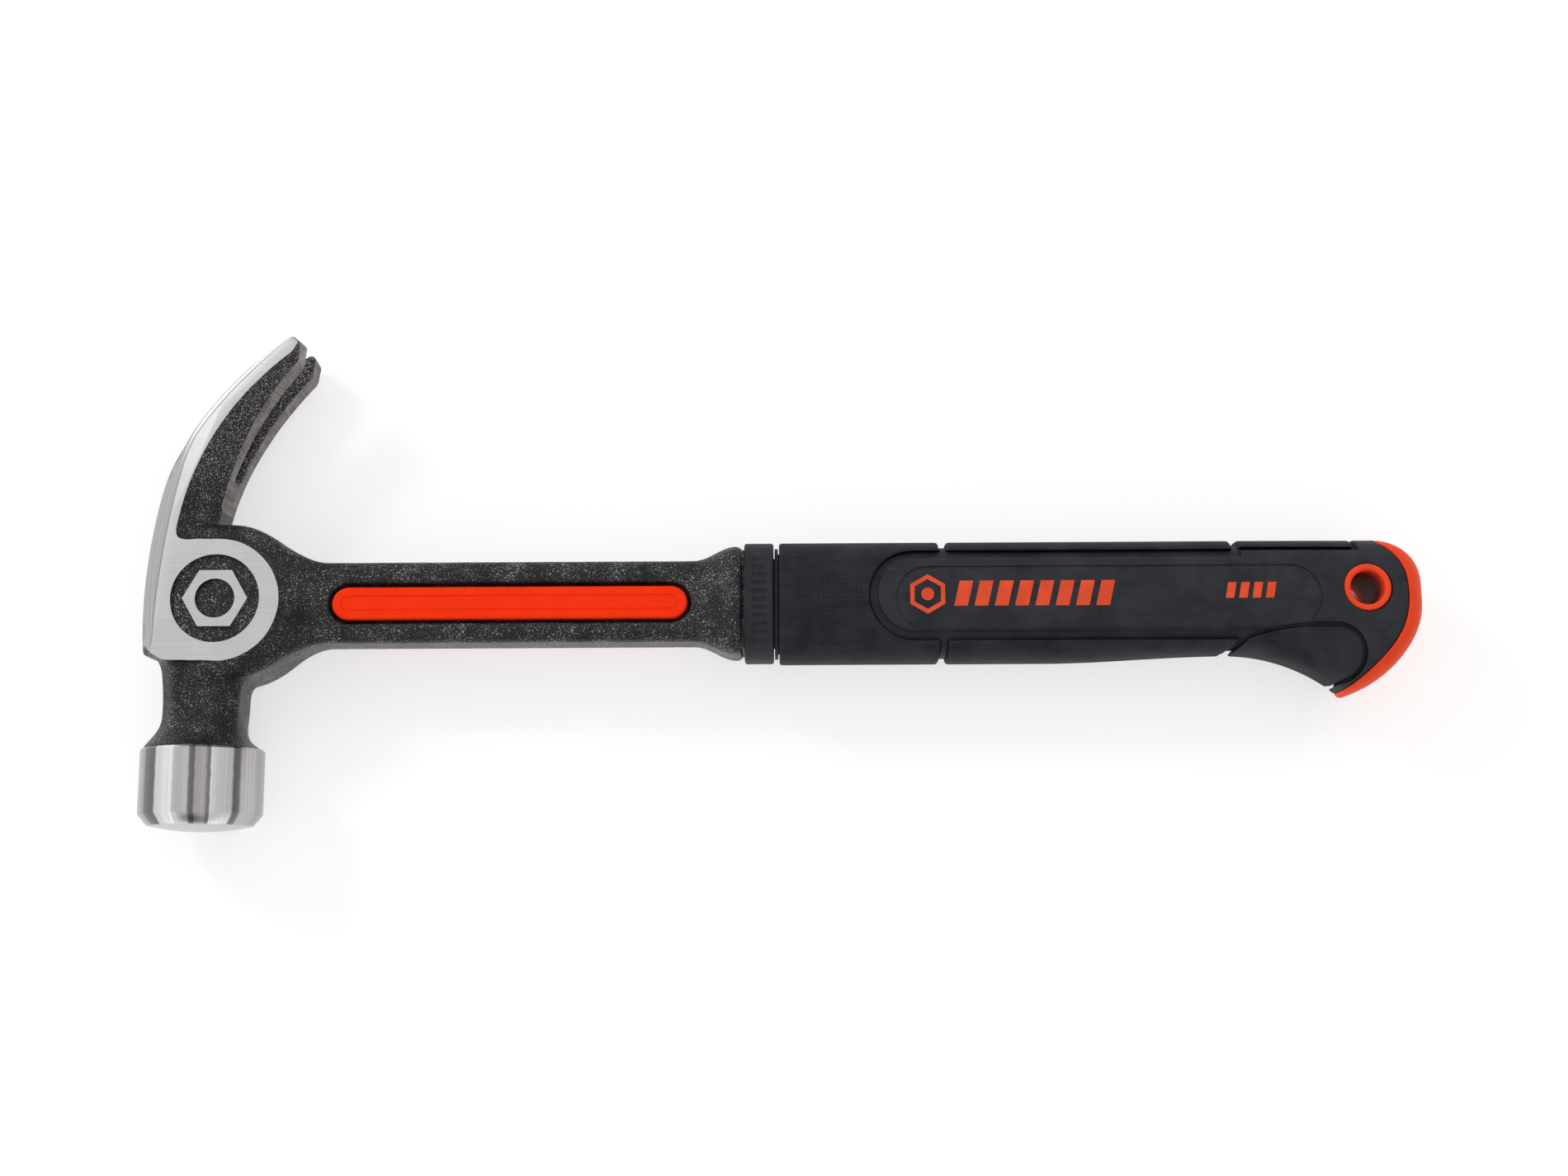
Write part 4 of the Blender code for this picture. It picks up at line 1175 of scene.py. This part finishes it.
def mix_value(tree, share, first, second):
    return add_node(tree, "ShaderNodeMix", {0: share, 2: first, 3: second}), 0


def bump(tree, height, strength, distance, normal=None):
    inputs = {"Height": height, "Strength": strength, "Distance": distance * MM}
    if normal:
        inputs["Normal"] = normal
    return add_node(tree, "ShaderNodeBump", inputs), "Normal"


def forged_skin_material():
    """Black forging scale: pebbled and glossy, with bright metallic flecks that stand in for the coat's
    glints (painted glints), and rare rust freckles on the claws.
    """
    material, tree = new_material("forged_scale")
    place = hammer_coordinates(tree)
    claws = map_range(tree, part_of(tree, place, "Y"), *CLAW_FLECKED_Y)
    clouds = noise(tree, place, 0.14, 3.0)
    pebbles = noise(tree, place, 1.3, 3.0, 0.6)
    grain = noise(tree, place, 3.1, 3.0, 0.65)
    patch = ramp(tree, clouds, [(0.3, 0.0), (0.75, 1.0)])
    patch = maths(tree, "MAXIMUM", patch, maths(tree, "MULTIPLY", claws, 0.9))
    # painted glints: bright metallic flecks in the colour stand in for the sparkle of the glossy coat, denser
    # in the grey patches and on the claws
    limit = maths(tree, "MULTIPLY_ADD", patch, -0.09, 0.645)
    glint_fleck = map_range(tree, maths(tree, "SUBTRACT", grain, limit), 0.0, 0.05)
    colour = mix_colour(tree, glint_fleck, mix_colour(tree, patch, SCALE_BLACK, SCALE_GREY), GLINT_FLECK_STEEL)
    freckles = ramp(tree, noise(tree, place, 1.7, 1.0), [(0.74, 0.0), (0.77, 1.0)])
    colour = mix_colour(tree, maths(tree, "MULTIPLY", freckles, claws), colour, RUST)
    relief = bump(tree, grain, 0.6, 0.2, bump(tree, pebbles, 0.8, 0.45))
    return finish_material(material, {
        "Base Color": colour,
        "Roughness": ramp(tree, pebbles, [(0.3, 0.24), (0.75, 0.44)]),
        "Metallic": glint_fleck,
        "Normal": relief,
        "Specular IOR Level": 0.25,
    })


def ground_steel_material():
    """Bare steel ground flat: fine brush lines along the handle and a faint cloudiness."""
    material, tree = new_material("ground_steel")
    lines = noise(tree, hammer_coordinates(tree, (0.06, 3.4, 3.4)), 1.0, 3.0, 0.7)
    clouds = noise(tree, hammer_coordinates(tree), 0.1, 2.0)
    tone = maths(tree, "MULTIPLY_ADD", lines, 0.6, 0.2)
    tone = maths(tree, "MULTIPLY_ADD", clouds, 0.4, tone)
    return finish_material(material, {
        "Base Color": ramp(tree, tone, [(0.4, GROUND_DARK), (0.9, GROUND_LIGHT)]),
        "Roughness": ramp(tree, tone, [(0.3, 0.46), (0.9, 0.34)]),
        "Metallic": 1.0,
        "Normal": bump(tree, lines, 0.3, 0.03),
    })


def bevel_steel_material():
    """Polished facet: streaks that follow the claws' curve, at even distances from their hub."""
    material, tree = new_material("polished_bevel")
    offset = vector_maths(tree, "SUBTRACT", hammer_coordinates(tree), (*CLAW_HUB, 0.0))
    reach = vector_maths(tree, "LENGTH", vector_maths(tree, "MULTIPLY", offset, (1.0, 1.0, 0.0)))
    streaks = line_noise(tree, reach, 2.6)
    return finish_material(material, {
        "Base Color": ramp(tree, streaks, [(0.3, BEVEL_DARK), (0.7, BEVEL_LIGHT)]),
        "Roughness": ramp(tree, streaks, [(0.3, 0.36), (0.7, 0.26)]),
        "Metallic": 1.0,
        "Normal": bump(tree, streaks, 0.12, 0.03),
    })


def underside_steel_material():
    """Dull, brownish, coarsely ground steel, with grinding lines across the claws."""
    material, tree = new_material("ground_underside")
    lines = noise(tree, hammer_coordinates(tree, (1.9, 1.9, 0.12)), 1.0, 3.0, 0.65)
    stains = noise(tree, hammer_coordinates(tree), 0.22, 3.0)
    tone = maths(tree, "MULTIPLY_ADD", lines, 0.5, maths(tree, "MULTIPLY", stains, 0.5))
    return finish_material(material, {
        "Base Color": ramp(tree, tone, [(0.35, UNDERSIDE_DARK), (0.65, UNDERSIDE_LIGHT)]),
        "Roughness": ramp(tree, tone, [(0.35, 0.55), (0.65, 0.42)]),
        "Metallic": 0.9,
        "Normal": bump(tree, lines, 0.3, 0.06),
    })


def painted_reflection_tone(tree, place, turn, fine):
    """Painted reflections: soft and sharp streaks round the bell that drift a little along it."""
    drift = noise(tree, hammer_coordinates(tree, (0.0, 0.2, 0.0)), 1.0, 1.0)
    share = maths(tree, "MULTIPLY", maths(tree, "ABSOLUTE", turn), 1.0 / math.pi)
    share = maths(tree, "MULTIPLY_ADD", drift, 0.02, share)
    # painted reflections: bright and dark bands laid into the colour by the angle round the bell
    streaks = ramp(tree, maths(tree, "SUBTRACT", share, 0.01), BELL_PAINTED_REFLECTIONS)
    return maths(tree, "MULTIPLY", streaks, maths(tree, "MULTIPLY_ADD", fine, 0.5, 0.75))


def bell_steel_material():
    """Turned and polished steel: painted reflections as streaks along the bell's axis, and fine rings on its
    face.
    """
    material, tree = new_material("polished_bell")
    place = hammer_coordinates(tree)
    turn = maths(tree, "ARCTAN2", part_of(tree, place, "Z"), part_of(tree, place, "X"))
    fine = line_noise(tree, turn, 30.0)
    radius = vector_maths(tree, "LENGTH", vector_maths(tree, "MULTIPLY", place, (1.0, 0.0, 1.0)))
    on_face = map_range(tree, radius, BELL_CHAMFER_RADIUS, BELL_CHAMFER_RADIUS - 0.6)
    rings = maths(tree, "MULTIPLY_ADD", line_noise(tree, radius, 2.5), 0.25, 0.5)
    tone = mix_value(tree, on_face, painted_reflection_tone(tree, place, turn, fine), rings)
    return finish_material(material, {
        "Base Color": ramp(tree, tone, [(0.0, (0.0, 0.0, 0.0)), (0.5, BELL_MIDDLE), (1.0, BELL_LIGHT)]),
        "Roughness": ramp(tree, fine, [(0.3, 0.34), (0.7, 0.24)]),
        "Metallic": 1.0,
        "Normal": bump(tree, fine, 0.08, 0.03),
    })


def rubber_material(name, colours, roughness):
    """Moulded rubber: fine grain, faint dusty clouding, worn a little lighter in patches."""
    material, tree = new_material(name)
    place = hammer_coordinates(tree)
    clouds = noise(tree, place, 0.09, 4.0, 0.6, 0.4)
    scuffs = noise(tree, hammer_coordinates(tree, (0.12, 0.5, 0.5)), 1.0, 4.0, 0.7)
    grain = noise(tree, place, 5.5, 2.0)
    share = ramp(tree, maths(tree, "MULTIPLY_ADD", scuffs, 0.45, clouds), [(0.55, 0.0), (0.95, 1.0)])
    return finish_material(material, {
        "Base Color": mix_colour(tree, share, *colours),
        "Roughness": maths(tree, "MULTIPLY_ADD", grain, 0.18, roughness - 0.09),
        "Normal": bump(tree, grain, 0.3, 0.06),
        "Specular IOR Level": 0.22,
    })


def bushing_material():
    """The hang hole's ring: the cap's orange on its rims, and painted shade inside the bore, a deep dark red.
    """
    material, tree = new_material("ring_orange")
    place = hammer_coordinates(tree)
    height = maths(tree, "ABSOLUTE", part_of(tree, place, "Z"))
    # painted shade: deep in the bore the orange gives way to dark red, and it returns towards the rims
    rim = map_range(tree, height, BUTT_HALF_THICK - 6.0, BUTT_HALF_THICK - 0.9)
    inside = ramp(tree, noise(tree, place, 0.5, 3.0), [(0.35, BORE_SHADE_DARK), (0.7, BORE_SHADE_LIGHT)])
    return finish_material(material, {
        "Base Color": mix_colour(tree, rim, inside, RING_ORANGE),
        "Roughness": 0.5,
        "Normal": bump(tree, noise(tree, place, 4.0, 2.0), 0.15, 0.05),
        "Specular IOR Level": 0.2,
    })


def orange_material(name, colours, roughness):
    """Satin orange plastic with a slight unevenness between two colours."""
    material, tree = new_material(name)
    place = hammer_coordinates(tree)
    grain = noise(tree, place, 4.0, 2.0)
    share = ramp(tree, noise(tree, place, 0.2, 3.0), [(0.3, 0.0), (0.7, 1.0)])
    return finish_material(material, {
        "Base Color": mix_colour(tree, share, *colours),
        "Roughness": maths(tree, "MULTIPLY_ADD", grain, 0.2, roughness - 0.1),
        "Normal": bump(tree, grain, 0.15, 0.05),
        "Specular IOR Level": 0.1,
    })


# ---------------------------------------------------------------- scene


def settle(piece, slot, *nodes):
    """The piece rides with the hammer and stands for its CAD nodes, which it hides; slot is not used."""
    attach(piece, "root")
    if nodes:
        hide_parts(*nodes)


def build_head():
    materials = {
        "skin": forged_skin_material(),
        "ground": ground_steel_material(),
        "bevel": bevel_steel_material(),
        "underside": underside_steel_material(),
        "bell": bell_steel_material(),
    }
    settle(make_forging(materials), "forged_steel", "forged_body")
    orange = orange_material("inlay_orange", INLAY_ORANGE, 0.4)
    settle(make_inlay("orange_strip_front", 1.0, orange), "orange_inlay", "shank_inlay_front")
    settle(make_inlay("orange_strip_back", -1.0, orange), "orange_inlay", "shank_inlay_back")


def build_grip():
    soft = rubber_material("soft_rubber", SOFT_BLACK, 0.72)
    hard = rubber_material("hard_nylon", HARD_BLACK, 0.62)
    cap = orange_material("cap_orange", CAP_ORANGE, 0.5)
    ink = orange_material("printed_orange", INK_ORANGE, 0.6)
    settle(make_collar(hard), "collar_plastic", "collar_ring")
    settle(make_frame(hard), "hard_grip", "grip_frame")
    sleeve = make_soft_piece("thumb_sleeve", sleeve_outline(0.0), soft, cut_panel=True, relief=knurl)
    settle(sleeve, "soft_grip", "front_grip_sleeve")
    for name, outline in pad_outlines(0.0).items():
        settle(make_soft_piece("soft_" + name, outline, soft), "soft_grip", name)
    settle(make_cap(cap), "orange_cap", "butt_cap")
    settle(make_bushing(bushing_material()), "orange_cap", "hang_hole_bushing")
    settle(make_print("printed_marks_front", 1.0, ink), "orange_cap")
    settle(make_print("printed_marks_back", -1.0, ink), "orange_cap")


def floor_material():
    """Pale glowing floor, dark where the hang hole shades it."""
    material, tree = new_material("pale_floor")
    below_hole = (HANG_HOLE[0] + 4.5, HANG_HOLE[1], -0.5 * (CAD_BOX[1].z - CAD_BOX[0].z) / MM)
    away = vector_maths(tree, "DISTANCE", hammer_coordinates(tree), below_hole)
    in_light = map_range(tree, away, 1.0, 9.0)
    return finish_material(material, {
        "Base Color": mix_colour(tree, in_light, FLOOR_SHADE, FLOOR_GREY),
        "Roughness": 0.9,
        "Specular IOR Level": 0.1,
        "Emission Color": (1.0, 1.0, 1.0, 1.0),
        "Emission Strength": maths(tree, "MULTIPLY", in_light, FLOOR_GLOW),
    })


def make_floor():
    mesh = bpy.data.meshes.new("floor")
    corners = [(x * FLOOR_HALF, y * FLOOR_HALF, 0.0) for x, y in ((-1, -1), (1, -1), (1, 1), (-1, 1))]
    mesh.from_pydata(corners, [], [(0, 1, 2, 3)])
    mesh.materials.append(floor_material())
    floor = bpy.data.objects.new("floor", mesh)
    bpy.context.scene.collection.objects.link(floor)


def add_light(name, place, side, power):
    """A square panel light that faces the hammer's middle."""
    light = bpy.data.lights.new(name, "AREA")
    light.shape = "RECTANGLE"
    light.size, light.size_y = side
    light.energy = power
    holder = bpy.data.objects.new(name, light)
    bpy.context.scene.collection.objects.link(holder)
    holder.location = place
    holder.rotation_mode = "QUATERNION"
    holder.rotation_quaternion = (-Vector(place)).to_track_quat("-Z", "Y")


def make_studio():
    """Soft light all round, with broad bright and dim bands, and a dark stand on the bell's side."""
    world = bpy.data.worlds.new("soft_studio")
    bpy.context.scene.world = world
    world.use_nodes = True
    tree = world.node_tree
    tree.nodes.clear()
    place = add_node(tree, "ShaderNodeTexCoord"), "Generated"
    angle = maths(tree, "ARCTAN2", part_of(tree, place, "X"), part_of(tree, place, "Z"))
    arch = ramp(tree, maths(tree, "MULTIPLY_ADD", angle, 1.0 / math.pi, 0.5), STUDIO_ARCH)
    away = vector_maths(tree, "DISTANCE", place, STAND_DIRECTION)
    light = maths(tree, "MULTIPLY", arch, map_range(tree, away, 0.15, 0.35, STAND_SHADE))
    background = add_node(tree, "ShaderNodeBackground", {"Color": light, "Strength": STUDIO_STRENGTH})
    add_node(tree, "ShaderNodeOutputWorld", {"Surface": (background, 0)})


def make_camera():
    """Above the middle of the hammer, tipped a little towards the claws."""
    target = Vector((ORIGIN + np.array(CAMERA_TARGET)) * MM)
    tip = math.radians(CAMERA_TIP)
    lens = bpy.data.cameras.new("camera")
    lens.sensor_width = 36.0
    lens.lens = CAMERA_LENS
    camera = bpy.data.objects.new("camera", lens)
    bpy.context.scene.collection.objects.link(camera)
    camera.location = target + CAMERA_DISTANCE * Vector((0.0, -math.sin(tip), math.cos(tip)))
    toward = (target - camera.location).normalized()
    camera.rotation_mode = "QUATERNION"
    roll = Quaternion(toward, math.radians(CAMERA_ROLL))
    camera.rotation_quaternion = roll @ toward.to_track_quat("-Z", "Y")
    bpy.context.scene.camera = camera


bpy.context.scene.view_settings.view_transform = "Standard"
build_head()
build_grip()
make_floor()
make_studio()
add_light("key_panel", (-0.95, 0.75, 0.8), (0.25, 0.2), 4.0)
add_light("rim_panel", (0.9, 0.7, 0.8), (0.2, 0.2), 0.8)
make_camera()
